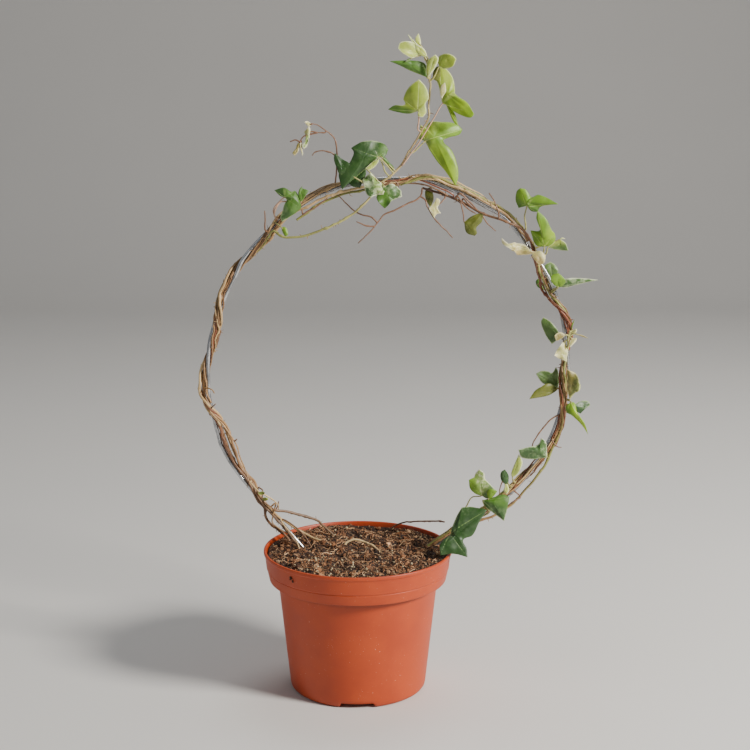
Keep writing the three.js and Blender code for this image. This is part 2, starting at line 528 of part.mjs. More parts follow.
    leaves: [
      leaf([130, 3, 228.5], [-5.5, -1, -0.5], [[-4, -1, 2], [-7.5, -2, 0], [-5.5, -1, -3.5]]),
      leaf([133, 4, 227.5], [2.5, -0.5, 3], [[2.5, 0, 1], [4, -1, 3.5], [3.5, -1, 5],
        [0.5, 0, 3]]),
      leaf([133.5, 4, 230], [1, 0, 6], [[1, 0, 4.5], [2, -1, 8.5], [0, 0, 4.5]]),
      leaf([136.5, 3, 229], [5, -1, -1.5], [[3.5, -1, -1.5], [7.5, -2, -2.5], [4, -1, -0.5]]),
      leaf([133.5, 4, 226.5], [1, -1, -3], [[-1, -1, -3], [-1, -2, -6], [3, -1, -2],
        [3.5, -1, 0]]),
      leaf([130, 5, 224.5], [-2, -1.5, -8], [[-2.5, -1, -2], [-7.5, -3, -9], [-3.5, -3, -11],
        [1, -2, -13], [1.5, 0, -6]]),
      leaf([134, 6, 186.5], [1.5, -1, 9.5], [[3, -1, 4.5], [6, -2, 7], [6, -3, 10.5],
        [4.5, -2, 15.5], [-2.5, 0, 20], [-2, 0, 12.5], [-1.5, 0, 5]]),
      leaf([134.5, 5, 185.5], [2.5, -2, -6], [[-3, 0, -3.5], [-2.5, -1, -7], [0.5, -2, -8.5],
        [6.5, -3, -14], [11, -4, -20.5], [8.5, -4, -13], [4, -2, -6.5], [2.5, 0, -1]]),
      leaf([136, 6, 182.5], [7, 2.5, -1.5], [[2, 1, -3.5], [5.5, 2, -5.5], [7.5, 2, -3],
        [11.5, 4, -0.5], [10.5, 4, 2], [5.5, 3, 2.5]]),
      leaf([98.5, 4, 136], [2.5, -1, 8.5], [[3.5, -1, 3], [6, -2, 11], [3.5, -2, 16], [1, -1, 9.5],
        [-1, 0, 2.5]]),
      leaf([96, 4, 132], [-3, -0.5, 5.5], [[0, 0, 5.5], [-2.5, -1, 10], [-5, -1, 8], [-5, 0, 3.5],
        [-3, 0, 0.5]]),
      leaf([93.5, 4, 133.5], [1, 0, -5], [[0, 0, -3.5], [-0.5, 0, -6], [1.5, -1, -8], [3, 0, -5.5],
        [2, 0, -2]]),
      leaf([79, 3, 124.5], [-0.5, -1.5, 6.5], [[4.5, 0, -2], [9.5, -2, 3.5], [5, -2, 8.5],
        [2, -2, 11.5], [1, -3, 16], [-2, -3, 18.5], [-4.5, -2, 15], [-5, -2, 13], [-8.5, -2, 11],
        [-7.5, -1, 5], [-4, 0, 1.5]], [[65.5, 7, 110], [69.5, 6, 116.5], [73, 5, 123]]),
      leaf([83, -1, 123.5], [2.5, -0.5, 5], [[3, 0, 1.5], [5.5, -1, 5.5], [3.5, -1, 6.5],
        [1, -1, 7], [-1, 0, 4.5]], [[82, 4, 118]]),
      leaf([79.5, 0, 122.5], [6, -1, -1], [[1.5, -1, -4], [5.5, -2, -7], [13.5, -5, -12.5],
        [15, -3, -6.5], [17, 0, 2], [13, 1, 3.5], [6.5, 1, 1.5]], [[81, 4, 118]]),
      leaf([58.5, -8, 101.5], [3.5, -3.5, 0.5], [[-4, -3, -1.5], [-7, -9, -4.5], [-6.5, -12, -9],
        [1, -11, -8.5], [10.5, -12, -10.5], [10, -9, -5.5], [8, -6, -1], [14, -4, 1.5],
        [18.5, -1, 9.5], [23.5, 3, 16], [14, 4, 18], [7.5, 4, 17.5], [4, 3, 11.5], [1, 0, 4.5]],
        [[84, 5, 113], [76, 2, 109.5], [66, -4, 105]]),
    ],
  },
];

// Dead stems that only stand in the soil.
const DEAD_STEMS = [
  {
    name: 'dead_stem_arch',
    route: places([[-8, 9, 79], [-8.5, 8.5, 87], [-8, 9, 90.5], [-4, 10.5, 92.5], [2.5, 13, 91.5],
      [9, 9, 89.5], [16, 0, 83], [17, -3, 79]]),
  },
  {
    name: 'dead_stem_at_back',
    route: places([[19, 50, 79], [21, 48, 88], [27.5, 46, 93], [36, 38, 96.5], [50.5, 28, 100.5],
      [56.5, 23.5, 101]]),
  },
];

// The biggest body, without the scraps and sealed hollows that fusing leaves.
function mainBody(manifold) {
  const bodies = manifold.decompose();
  return bodies.reduce((best, body) => (body.volume() > best.volume() ? body : best));
}

// A stem or twig with all that grows on it.
function grown({ route, leaves, twigs = [] }, radius, sides, step) {
  const curve = smoothCurve(route);
  let whole = rod(curve, radius, sides, step);
  for (const each of leaves) whole = whole.add(stalkedLeaf(each, curve));
  for (const each of twigs) {
    const root = nearestOn(curve, each.route[0]);
    const rooted = { ...each, route: [root, ...each.route] };
    whole = whole.add(grown(rooted, TWIG_RADIUS, STALK_SIDES, STALK_STEP));
  }
  return whole;
}

// ---- pot and soil ----

// Half section of the pot's outside, from the base's middle up to the lip.
function outerSide() {
  const corner = [0, 30, 60, 90].map(radians).map((turn) => [
    BASE_RADIUS - BASE_CORNER * (1 - Math.sin(turn)),
    BASE_CORNER * (1 - Math.cos(turn)),
  ]);
  const slope = (RIM_RADIUS - COLLAR_LOW_RADIUS) / (POT_HEIGHT - COLLAR_BOTTOM);
  const collarAt = (z) => COLLAR_LOW_RADIUS + slope * (z - COLLAR_BOTTOM);
  return [
    [0, 0], ...corner,
    [BODY_TOP_RADIUS, COLLAR_BOTTOM - NECK_DROP],
    [BODY_TOP_RADIUS + NECK_FLARE, COLLAR_BOTTOM - NECK_DROP + NECK_FLARE],
    [COLLAR_LOW_RADIUS - COLLAR_ROUND, COLLAR_BOTTOM],
    [COLLAR_LOW_RADIUS, COLLAR_BOTTOM + COLLAR_ROUND],
    [collarAt(COLLAR_LINE) - COLLAR_LINE_STEP, COLLAR_LINE],
    [collarAt(COLLAR_LINE), COLLAR_LINE + COLLAR_LINE_STEP],
    [RIM_RADIUS - LIP_STEP, POT_HEIGHT - LIP_HEIGHT],
    [RIM_RADIUS, POT_HEIGHT - LIP_HEIGHT + LIP_STEP],
    [RIM_RADIUS, POT_HEIGHT - LIP_STEP],
    [RIM_RADIUS - LIP_STEP, POT_HEIGHT],
  ];
}

function pot() {
  const inner = innerSide(0).reverse();
  const profile = [...outerSide(), ...inner].map(([r, z]) => new THREE.Vector2(r, z));
  const shell = solid(new THREE.LatheGeometry(profile, POT_SIDES).rotateX(Math.PI / 2));
  let notched = shell;
  for (let i = 0; i < NOTCHES; i++) {
    const length = BASE_RADIUS + NOTCH_CUT_PAST - NOTCH_INNER_RADIUS;
    const cutter = new THREE.BoxGeometry(length, NOTCH_WIDTH, 2 * NOTCH_HEIGHT)
      .translate(NOTCH_INNER_RADIUS + length / 2, 0, 0)
      .rotateZ(radians(-90 + (360 / NOTCHES) * i));
    notched = notched.subtract(solid(cutter));
  }
  return notched;
}

// The inside of the pot from the floor's middle up to the lip, drawn in by a gap.
function innerSide(gap) {
  const inside = POT_WALL + gap;
  return [
    [0, FLOOR + gap],
    [BASE_RADIUS - inside - INNER_CORNER, FLOOR + gap],
    [BASE_RADIUS - inside, FLOOR + gap + INNER_CORNER],
    [BODY_TOP_RADIUS - inside, COLLAR_BOTTOM],
    [COLLAR_LOW_RADIUS - inside - INNER_CORNER, COLLAR_BOTTOM + COLLAR_FLOOR],
    [COLLAR_LOW_RADIUS - inside, COLLAR_BOTTOM + COLLAR_FLOOR + INNER_CORNER],
    [RIM_RADIUS - inside, POT_HEIGHT],
  ];
}

// The height of the soil's uneven top: waves, a dip at the back, and heaps.
function soilHeight(x, y) {
  let height = SOIL_TOP;
  for (const [size, acrossX, acrossY, shift] of SOIL_WAVES) {
    height += size * Math.sin(x * acrossX + y * acrossY + shift);
  }
  for (const [size, [atX, atY], [wideX, wideY]] of SOIL_HEAPS) {
    height += size * Math.exp(-(((x - atX) / wideX) ** 2) - ((y - atY) / wideY) ** 2);
  }
  return height;
}

function soil(standing) {
  const side = innerSide(GAP);
  const [collarRadius, collarZ] = side[side.length - 2];
  const [rimRadius, rimZ] = side[side.length - 1];
  const topRadius = THREE.MathUtils.mapLinear(SOIL_TOP, collarZ, rimZ, collarRadius, rimRadius);
  const rings = [1, 0.88, 0.7, 0.52, 0.35, 0.18, 0].map((part) => [part * topRadius, SOIL_TOP]);
  const profile = [...side.slice(0, -1), ...rings].map(([r, z]) => new THREE.Vector2(r, z));
  const geometry = new THREE.LatheGeometry(profile, SOIL_SIDES).rotateX(Math.PI / 2);
  const position = geometry.attributes.position;
  for (let i = 0; i < position.count; i++) {
    if (Math.abs(position.getZ(i) - SOIL_TOP) > 0.01) continue;
    const [x, y] = [position.getX(i), position.getY(i)];
    const edge = Math.hypot(x, y) > topRadius - 1 ? SOIL_EDGE_PART : 1;
    position.setZ(i, SOIL_TOP + edge * (soilHeight(x, y) - SOIL_TOP));
  }
  let plug = solid(geometry);
  for (const { curve, radius, sides, step } of standing) {
    plug = plug.subtract(rod(curve, radius + HOLE_GAP, sides, step));
  }
  return plug;
}

// ---- the whole ----

function named(name, manifold, colour, roughness, metalness = 0) {
  const material = new THREE.MeshStandardMaterial({ color: colour, roughness, metalness });
  const mesh = new THREE.Mesh(geometryOf(manifold), material);
  mesh.name = name;
  return mesh;
}

function build() {
  const model = new THREE.Group();
  const wireCurve = hoopWire();
  const stemSize = { radius: STEM_RADIUS, sides: STEM_SIDES, step: STEM_STEP };
  const standing = [
    { curve: wireCurve, radius: WIRE_RADIUS, sides: WIRE_SIDES, step: WIRE_STEP },
    ...STEMS.map(({ route }) => ({ curve: smoothCurve(route), ...stemSize })),
    ...DEAD_STEMS.map(({ route }) => ({ curve: smoothCurve(route), ...stemSize })),
  ];
  model.add(named('pot', pot(), '#b5532f', 0.55));
  model.add(named('soil', soil(standing), '#6b4a30', 1));
  model.add(named('hoop_wire', rod(wireCurve, WIRE_RADIUS, WIRE_SIDES, WIRE_STEP), '#c9ccd0', 0.35, 1));
  for (const stem of STEMS) {
    const whole = grown(stem, STEM_RADIUS, STEM_SIDES, STEM_STEP);
    model.add(named(stem.name, mainBody(whole), stem.colour, 0.8));
  }
  for (const { name, route } of DEAD_STEMS) {
    const stem = rod(smoothCurve(route), STEM_RADIUS, STEM_SIDES, STEM_STEP);
    model.add(named(name, stem, '#8d7a5c', 0.9));
  }
  return model;
}

export default build();
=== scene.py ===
"""A small ivy trained round an upright wire hoop in a round nursery pot of peat.

Lengths of the plant are in millimetres, as on the construction model, and each
mesh is scaled to metres as it is made. +Z is up, +X to the right along the hoop
and +Y behind it. Angles round the hoop are in degrees: 0 is its right side, 90
the top and 180 the left side.
"""

import bpy
import numpy as np
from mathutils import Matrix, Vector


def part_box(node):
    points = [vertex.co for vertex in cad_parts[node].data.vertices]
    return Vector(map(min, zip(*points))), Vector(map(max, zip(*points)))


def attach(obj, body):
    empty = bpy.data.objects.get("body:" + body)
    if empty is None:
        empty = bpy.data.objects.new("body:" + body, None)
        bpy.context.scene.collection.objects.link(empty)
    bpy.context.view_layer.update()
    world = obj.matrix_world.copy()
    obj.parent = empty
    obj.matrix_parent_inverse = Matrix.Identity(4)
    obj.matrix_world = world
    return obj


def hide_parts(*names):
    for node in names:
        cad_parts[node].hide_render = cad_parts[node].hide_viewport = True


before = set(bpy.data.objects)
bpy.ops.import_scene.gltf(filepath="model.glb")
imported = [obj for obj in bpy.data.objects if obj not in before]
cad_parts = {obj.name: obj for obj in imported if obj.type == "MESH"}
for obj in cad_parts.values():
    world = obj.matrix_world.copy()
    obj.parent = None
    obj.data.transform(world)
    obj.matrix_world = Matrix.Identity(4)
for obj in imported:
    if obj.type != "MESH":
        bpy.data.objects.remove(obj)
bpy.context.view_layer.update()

MM = 0.001

# ---- sizes that the pieces share ----

POT_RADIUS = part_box("pot")[1].x / MM
POT_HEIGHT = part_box("pot")[1].z / MM
SOIL_TOP = 88.8
HOOP_CENTRE = np.array([18.6, 12.0, 207.4])
HOOP_RADIUS = 115.8
HOOP_RIGHT_END, HOOP_LEFT_END = -55, 220

# How far a hand bent hoop stands out of a true circle, by hoop angle.
HOOP_KINKS = np.array([
    (-55, 0), (-40, -0.6), (-26, -1.3), (-13, -1.9), (-1, -1.3), (9, -2), (20, -1.2),
    (30, -0.4), (40, -0.4), (52, 2.4), (60, 1.2), (69, 1.6), (80, 3.4), (88, 1.5),
    (104, 0.2), (111, -0.7), (119, -2.5), (130, -3.4), (143, -3.4), (150, -5.2),
    (158, -5.1), (166, -4), (174, -2.9), (183, -2.3), (190, -1.1), (197, -0.5),
    (202, 0.6), (206, 2.1), (213, 2.6), (220, 2.9),
])
WIRE_RADIUS = 1.25
WIRE_SIDES = 16
WIRE_TIPS = (-88, 254)

# Where the bundle of stems lies on the wire, by hoop angle (0 outer, 90 front).
WINDING = np.array([
    (-90, -180), (-45, -180), (-37, -90), (-28, 0), (-20, 0), (-11, 90), (-2, 180),
    (6, 270), (13, 360), (20, 450), (26, 540), (29, 540), (36, 450), (43, 360),
    (75, 360), (81, 450), (87, 540), (93, 540), (100, 630), (107, 720), (121, 720),
    (129, 810), (136, 900), (138, 900), (145, 990), (151, 1080), (156, 1080),
    (162, 1170), (168, 1260), (172, 1260), (178, 1350), (185, 1440), (189, 1440),
    (194.5, 1530), (200.5, 1620), (220, 1620), (226, 1530), (260, 1530),
])
WINDING_STEP = 3

# Places in the bundle: how far out from the wire's middle line, and how far across.
BUNDLE = {
    "lower": (2.3, -1.1), "upper": (2.3, 1.1), "ridge": (3.8, 0), "flank": (3.9, 2.1),
    "low_side": (1.0, -2.0), "high_side": (1.0, 2.0), "low_crown": (3.6, -1.6),
    "high_crown": (5.0, 1.0),
}

# ---- small helpers ----


def srgb(hex_colour):
    """Linear red, green and blue of a colour written as it looks on a screen."""
    parts = np.array([int(hex_colour[i:i + 2], 16) / 255 for i in (1, 3, 5)])
    return np.where(parts <= 0.04045, parts / 12.92, ((parts + 0.055) / 1.055) ** 2.4)


def smoothstep(values, low, high):
    """0 below low, 1 above high, and an eased step between them."""
    part = np.clip((values - low) / (high - low), 0, 1)
    return part * part * (3 - 2 * part)


def unit(vectors):
    """The vectors, each made one long."""
    return vectors / np.maximum(np.linalg.norm(vectors, axis=-1, keepdims=True), 1e-9)


def noise(points, scale, seed):
    """Smooth noise from -1 to 1: random values on a lattice of cells of the given
    size, blended between the cell's eight corners by eased steps."""
    lattice = np.random.default_rng(seed).uniform(-1, 1, (32, 32, 32))
    place = np.asarray(points, float) / scale
    cell = np.floor(place).astype(int)
    part = place - cell
    part = part * part * (3 - 2 * part)
    total = np.zeros(len(place))
    for corner in np.ndindex(2, 2, 2):
        weight = np.prod(np.where(corner, part, 1 - part), axis=1)
        x, y, z = ((cell + corner) % 32).T
        total += weight * lattice[x, y, z]
    return total


CURVE_PARTS = 16


def smooth_path(points, step):
    """Points every step along a centripetal Catmull-Rom curve: in each span a
    cubic whose end slopes come from the distances to the neighbouring points."""
    p = np.asarray(points, float)
    p = np.vstack([2 * p[0] - p[1], p, 2 * p[-1] - p[-2]])
    gap = np.sqrt(np.linalg.norm(np.diff(p, axis=0), axis=1))[:, None]
    d0, d1, d2 = gap[:-2], gap[1:-1], gap[2:]
    a, b, c, d = p[:-3], p[1:-2], p[2:-1], p[3:]
    slope_b = ((b - a) / d0 - (c - a) / (d0 + d1) + (c - b) / d1) * d1
    slope_c = ((c - b) / d1 - (d - b) / (d1 + d2) + (d - c) / d2) * d1
    t = np.linspace(0, 1, CURVE_PARTS, endpoint=False)[None, :, None]
    spans = (b[:, None] + slope_b[:, None] * t
             + (3 * (c - b) - 2 * slope_b - slope_c)[:, None] * t ** 2
             + (2 * (b - c) + slope_b + slope_c)[:, None] * t ** 3)
    line = np.vstack([spans.reshape(-1, 3), p[-2]])
    along = np.concatenate([[0], np.cumsum(np.linalg.norm(np.diff(line, axis=0), axis=1))])
    places = np.linspace(0, along[-1], max(3, int(round(along[-1] / step)) + 1))
    return np.column_stack([np.interp(places, along, line[:, k]) for k in range(3)]), places


def on_line(along, shift=0):
    """Places on a straight line, for noise that changes only along a stem."""
    return np.column_stack([along, along * 0 + shift, along * 0])


class Growth:
    """Collects meshes that become one piece: points in millimetres, faces as
    rows of point numbers, and named values at the points."""

    def __init__(self):
        self.points, self.faces, self.values, self.count = [], [], {}, 0

    def add(self, points, faces, **values):
        self.points.append(points)
        self.faces += [np.asarray(rows) + self.count for rows in faces]
        for name, value in values.items():
            self.values.setdefault(name, []).append(np.asarray(value, float))
        self.count += len(points)

    def piece(self, name, finish, slot, node, smooth=True):
        """Makes the mesh, gives it its finish, and lets it stand for the node."""
        mesh = bpy.data.meshes.new(name)
        points = np.vstack(self.points) * MM
        mesh.vertices.add(len(points))
        mesh.vertices.foreach_set("co", points.ravel())
        corners = np.concatenate([rows.ravel() for rows in self.faces])
        sizes = np.concatenate([np.full(len(rows), rows.shape[1]) for rows in self.faces])
        mesh.loops.add(len(corners))
        mesh.loops.foreach_set("vertex_index", corners)
        mesh.polygons.add(len(sizes))
        mesh.polygons.foreach_set("loop_start", np.cumsum(sizes) - sizes)
        mesh.polygons.foreach_set("use_smooth", np.full(len(sizes), smooth))
        for key, parts in self.values.items():
            rows = np.concatenate(parts)
            if rows.ndim == 1:
                mesh.attributes.new(key, "FLOAT", "POINT").data.foreach_set("value", rows)
            elif rows.shape[1] == 3:
                vector = mesh.attributes.new(key, "FLOAT_VECTOR", "POINT")
                vector.data.foreach_set("vector", rows.ravel())
            else:
                colour = mesh.attributes.new(key, "FLOAT_COLOR", "POINT")
                colour.data.foreach_set("color", rows.ravel())
        mesh.update()
        mesh.validate()
        obj = bpy.data.objects.new(name, mesh)
        bpy.context.scene.collection.objects.link(obj)
        mesh.materials.append(finish)
        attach(obj, "root")
        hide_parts(node)


def ring_faces(count, sides):
    """Faces over a stack of rings, each turning to the left about the way they go,
    and a fan at each end to a point. The two end points come after the rings."""
    start = np.arange(count - 1)[:, None] * sides
    side = np.arange(sides)
    after = (side + 1) % sides
    quads = np.stack([start + side, start + after, start + sides + after,
                      start + sides + side], axis=-1)
    top, end = (count - 1) * sides, count * sides
    low_fan = np.column_stack([after, side, np.full(sides, end)])
    high_fan = np.column_stack([top + side, top + after, np.full(sides, end + 1)])
    return [quads.reshape(-1, 4), low_fan, high_fan]


def tube(path, radius, sides):
    """A round rod: at each path point a ring of points at the given radius, in
    the plane square to the path, with a cap at each end. Radius may be one value
    or one for each ring and side. Returns points, faces and each point's turn
    round the rod."""
    tangent = unit(np.gradient(path, axis=0))
    across = np.eye(3)[np.argmin(np.abs(tangent).mean(axis=0))]
    first = unit(across - (tangent @ across)[:, None] * tangent)
    second = np.cross(tangent, first)
    turn = np.linspace(0, 2 * np.pi, sides, endpoint=False)
    size = np.broadcast_to(radius, (len(path), sides))
    rings = (path[:, None] + size[..., None]
             * (np.cos(turn)[:, None] * first[:, None] + np.sin(turn)[:, None] * second[:, None]))
    points = np.vstack([rings.reshape(-1, 3), path[0], path[-1]])
    turns = np.concatenate([np.tile(turn, len(path)), [0, 0]])
    return points, ring_faces(len(path), sides), turns


def turned(profile, sides, shape):
    """A closed outline of (radius, height) points turned round the Z axis. The
    outline starts and ends on the axis, where each end is one point. The shape
    function then moves the points."""
    profile = np.asarray(profile, float)
    turn = np.linspace(0, 2 * np.pi, sides, endpoint=False)
    r, z = profile[1:-1].T
    rings = np.stack([r[:, None] * np.cos(turn), r[:, None] * np.sin(turn),
                      np.repeat(z[:, None], sides, axis=1)], axis=-1).reshape(-1, 3)
    ends = np.array([[0, 0, profile[0][1]], [0, 0, profile[-1][1]]])
    return np.vstack([shape(rings), shape(ends)]), ring_faces(len(r), sides)


# ---- the hoop, and places beside it ----


def hoop_at(angle):
    """Points of the wire's middle line with the outward direction there: a hand
    bent circle between its two ends, and straight tangents past them."""
    angle = np.atleast_1d(np.asarray(angle, float))
    end = np.clip(angle, HOOP_RIGHT_END, HOOP_LEFT_END)
    after = np.clip(np.searchsorted(HOOP_KINKS[:, 0], end, side="right"), 1, len(HOOP_KINKS) - 1)
    (a0, v0), (a1, v1) = HOOP_KINKS[after - 1].T, HOOP_KINKS[after].T
    kink = v0 + (v1 - v0) * smoothstep((end - a0) / (a1 - a0), 0, 1)
    turn = np.radians(end)
    zero = np.zeros_like(turn)
    out = np.column_stack([np.cos(turn), zero, np.sin(turn)])
    along = np.column_stack([-np.sin(turn), zero, np.cos(turn)])
    run = HOOP_RADIUS * np.tan(np.radians(angle - end))
    return HOOP_CENTRE + (HOOP_RADIUS + kink)[:, None] * out + run[:, None] * along, out


def beside(angle, distance, side):
    """Places beside the wire at a distance from its middle line, on the side
    given in degrees: 0 outer, 90 front, 180 inner, 270 behind."""
    middle, out = hoop_at(angle)
    turn = np.radians(np.atleast_1d(side))[:, None]
    distance = np.atleast_1d(distance)[:, None]
    sideways = np.array([[0.0, -1.0, 0.0]])
    return middle + distance * (np.cos(turn) * out + np.sin(turn) * sideways)


def wound(place, start, end, bulges=()):
    """A stem's points in its place in the bundle, between two hoop angles. A bulge
    (angle, extra distance, half width) lets it stand off the wire."""
    away, across = BUNDLE[place]
    low, high = min(start, end), max(start, end)
    inner = np.arange((low // WINDING_STEP + 1) * WINDING_STEP, high, WINDING_STEP)
    angles = np.concatenate([[low], inner, [high]])
    if start > end:
        angles = angles[::-1]
    out = np.full(len(angles), float(away))
    for centre, extra, half in bulges:
        out += extra * smoothstep(1 - np.abs(angles - centre) / half, 0, 1)
    lean = np.degrees(np.arctan2(across, out))
    side = np.interp(angles, WINDING[:, 0], WINDING[:, 1]) + lean
    return [tuple(p) for p in beside(angles, np.hypot(out, across), side)]


def by_wire(angle, distance, side):
    """One place beside the wire."""
    return tuple(beside(angle, distance, side)[0])


# ---- shader groups ----


class Nodes:
    """Short calls for making and joining shader nodes in one tree."""

    def __init__(self, tree):
        self.tree = tree

    def put(self, value, socket):
        if isinstance(value, bpy.types.NodeSocket):
            self.tree.links.new(value, socket)
        elif isinstance(value, (tuple, list, np.ndarray)) and len(value) == 3 \
                and socket.type == "RGBA":
            socket.default_value = (*value, 1)
        else:
            socket.default_value = value

    def make(self, kind, inputs=None, **settings):
        node = self.tree.nodes.new(kind)
        for name, value in settings.items():
            setattr(node, name, value)
        for name, value in (inputs or {}).items():
            self.put(value, node.inputs[name])
        return node

    def math(self, operation, *values):
        node = self.make("ShaderNodeMath", operation=operation)
        for socket, value in zip(node.inputs, values):
            self.put(value, socket)
        return node.outputs[0]

    def mix(self, amount, first, second, blend="MIX"):
        node = self.make("ShaderNodeMix", data_type="RGBA", blend_type=blend)
        self.put(amount, node.inputs[0])
        self.put(first, node.inputs[6])
        self.put(second, node.inputs[7])
        return node.outputs[2]

    def tinted(self, colour, factors):
        """The colour with its red, green and blue each multiplied."""
        return self.mix(1.0, colour, factors, "MULTIPLY")

    def ramp(self, value, low, high, to_low=0.0, to_high=1.0):
        node = self.make("ShaderNodeMapRange", interpolation_type="SMOOTHSTEP")
        for name, number in (("Value", value), ("From Min", low), ("From Max", high),
                             ("To Min", to_low), ("To Max", to_high)):
            self.put(number, node.inputs[name])
        return node.outputs[0]

    def noise(self, place, scale, detail=3.0, rough=0.55):
        node = self.make("ShaderNodeTexNoise", {"Vector": place, "Scale": scale,
                                                "Detail": detail, "Roughness": rough})
        return node.outputs["Fac"]

    def attribute(self, name, output="Color"):
        return self.make("ShaderNodeAttribute", attribute_name=name).outputs[output]


def shader_group(name, inputs, outputs):
    """A new node group with named sockets, each (name, kind, start value)."""
    tree = bpy.data.node_groups.new(name, "ShaderNodeTree")
    for title, kind, value in inputs:
        socket = tree.interface.new_socket(title, in_out="INPUT", socket_type="NodeSocket" + kind)
        if value is not None:
            socket.default_value = value
    for title, kind in outputs:
        tree.interface.new_socket(title, in_out="OUTPUT", socket_type="NodeSocket" + kind)
    n = Nodes(tree)
    source = n.make("NodeGroupInput").outputs
    sink = n.make("NodeGroupOutput").inputs
    return tree, n, source, sink


def speckle_group():
    """Fine specks and broad soft clouding over a surface, on Object coordinates."""
    tree, n, source, sink = shader_group(
        "specks and clouding",
        [("Place", "Vector", None), ("Speck Size", "Float", 900.0), ("Specks", "Float", 0.5),
         ("Cloud Size", "Float", 60.0)],
        [("Specks", "Float"), ("Clouding", "Float"), ("Relief", "Float")])
    fine = n.noise(source["Place"], source["Speck Size"], 2.0)
    patch = n.noise(source["Place"], source["Cloud Size"], 4.0, 0.6)
    edge = n.math("SUBTRACT", 0.86, n.math("MULTIPLY", source["Specks"], 0.16))
    n.put(n.math("MULTIPLY", n.ramp(fine, edge, n.math("ADD", edge, 0.05)),
                 n.ramp(patch, 0.4, 0.65)), sink["Specks"])
    n.put(patch, sink["Clouding"])
    n.put(n.noise(source["Place"], n.math("MULTIPLY", source["Speck Size"], 1.6), 2.0),
          sink["Relief"])
    return tree


def finish_material(name, roughness=0.5, metallic=0.0, **sockets):
    """A material with one Principled shader, and the calls to join nodes to it."""
    material = bpy.data.materials.new(name)
    material.use_nodes = True
    n = Nodes(material.node_tree)
    shader = material.node_tree.nodes["Principled BSDF"]
    shader.inputs["Roughness"].default_value = roughness
    shader.inputs["Metallic"].default_value = metallic
    for title, value in sockets.items():
        shader.inputs[title.replace("_", " ")].default_value = value
    return material, n, shader.inputs


def raised(n, sockets, height, depth_mm, strength):
    """Joins a height to the shader's normal as relief of the given depth."""
    bump = n.make("ShaderNodeBump", {"Strength": strength, "Distance": depth_mm * MM,
                                     "Height": height})
    n.put(bump.outputs["Normal"], sockets["Normal"])


def use(n, tree, **inputs):
    """Places a node group and returns its outputs."""
    node = n.make("ShaderNodeGroup", node_tree=tree)
    for name, value in inputs.items():
        n.put(value, node.inputs[name.replace("_", " ")])
    return node.outputs


# ---- materials ----


def pot_plastic(specks):
    """Matt terracotta-coloured plastic: even colour with soft clouding, pale specks
    and scuffs, most on the edges, and dark painted shade where the script asks for
    it: a painted shadow under the collar, painted shade at the foot and in its
    notches, and down the inside of the rim."""
    material, n, sockets = finish_material("terracotta plastic", 0.5, Subsurface_Weight=0.05,
                                           Subsurface_Scale=0.003)
    sockets["Subsurface Radius"].default_value = (1.0, 0.4, 0.2)
    place = n.make("ShaderNodeTexCoord").outputs["Object"]
    marks = use(n, specks, Place=place, Speck_Size=1000.0, Specks=1.0, Cloud_Size=38.0)
    body = n.mix(n.ramp(marks["Clouding"], 0.3, 0.7), srgb("#ad3d13"), srgb("#ba4718"))
    # Scuffs: short streaks round the pot, stretched by a mapping of the place.
    streaks = n.make("ShaderNodeMapping", {"Vector": place, "Scale": (160.0, 160.0, 900.0)})
    scuff = n.noise(streaks.outputs[0], 1.0, 4.0, 0.7)
    scuffed = n.math("MULTIPLY", n.ramp(scuff, 0.66, 0.78), n.attribute("wear", "Fac"))
    body = n.mix(n.math("MULTIPLY", scuffed, 0.5), body, srgb("#e2a37e"))
    body = n.mix(n.math("MULTIPLY", marks["Specks"], 0.7), body, srgb("#f0cdb4"))
    # Painted shade: the dark mix stands for the shadow under the collar and the shade at the foot, in its
    # notches and inside the rim.
    body = n.mix(n.attribute("grime", "Fac"), body, srgb("#3a2015"))
    n.put(body, sockets["Base Color"])
    n.put(n.ramp(marks["Clouding"], 0.2, 0.8, 0.4, 0.54), sockets["Roughness"])
    raised(n, sockets, marks["Relief"], 0.03, 0.5)
    return material


def wire_metal(specks):
    """Bright drawn wire, with fine die lines along it and dull patches."""
    material, n, sockets = finish_material("galvanised wire", 0.3, 0.9)
    place = n.make("ShaderNodeTexCoord").outputs["Object"]
    marks = use(n, specks, Place=place, Speck_Size=900.0, Specks=0.7, Cloud_Size=140.0)
    body = n.mix(n.ramp(marks["Clouding"], 0.35, 0.7), srgb("#c4c6c9"), srgb("#8c8e91"))
    body = n.mix(n.math("MULTIPLY", marks["Specks"], 0.6), body, srgb("#6b5a48"))
    n.put(body, sockets["Base Color"])
    n.put(n.ramp(marks["Clouding"], 0.3, 0.75, 0.2, 0.36), sockets["Roughness"])
    lines = n.make("ShaderNodeMapping", {"Vector": n.attribute("bark_place", "Vector"),
                                         "Scale": (9.0, 9.0, 0.4)})
    raised(n, sockets, n.noise(lines.outputs[0], 1.0, 3.0), 0.005, 0.06)
    return material


def bark():
    """Thin stem skin: the tone that each stem carries, drawn out into paler,
    smoother fibres along it, with darker flecks. The paler fibres are partly real
    streaks in the skin and partly a painted highlight along the stem."""
    material, n, sockets = finish_material("stem skin", 0.55)
    tone = n.attribute("tone")
    drawn = n.make("ShaderNodeMapping", {"Vector": n.attribute("bark_place", "Vector"),
                                         "Scale": (3.2, 3.2, 0.45)})
    fibre = n.noise(drawn.outputs[0], 1.0, 5.0, 0.7)
    flecks = n.noise(n.attribute("bark_place", "Vector"), 1.1, 2.0)
    # Paler, smoother fibres: partly real streaks in the skin, partly a painted highlight along the stem.
    shade = n.mix(n.ramp(fibre, 0.35, 0.68), tone, n.tinted(tone, (1.4, 1.38, 1.34)))
    shade = n.mix(n.ramp(flecks, 0.58, 0.72, 0.0, 0.55), shade,
                  n.tinted(tone, (0.42, 0.36, 0.3)))
    n.put(shade, sockets["Base Color"])
    n.put(n.ramp(fibre, 0.3, 0.7, 0.55, 0.32), sockets["Roughness"])
    raised(n, sockets, fibre, 0.14, 0.8)
    return material


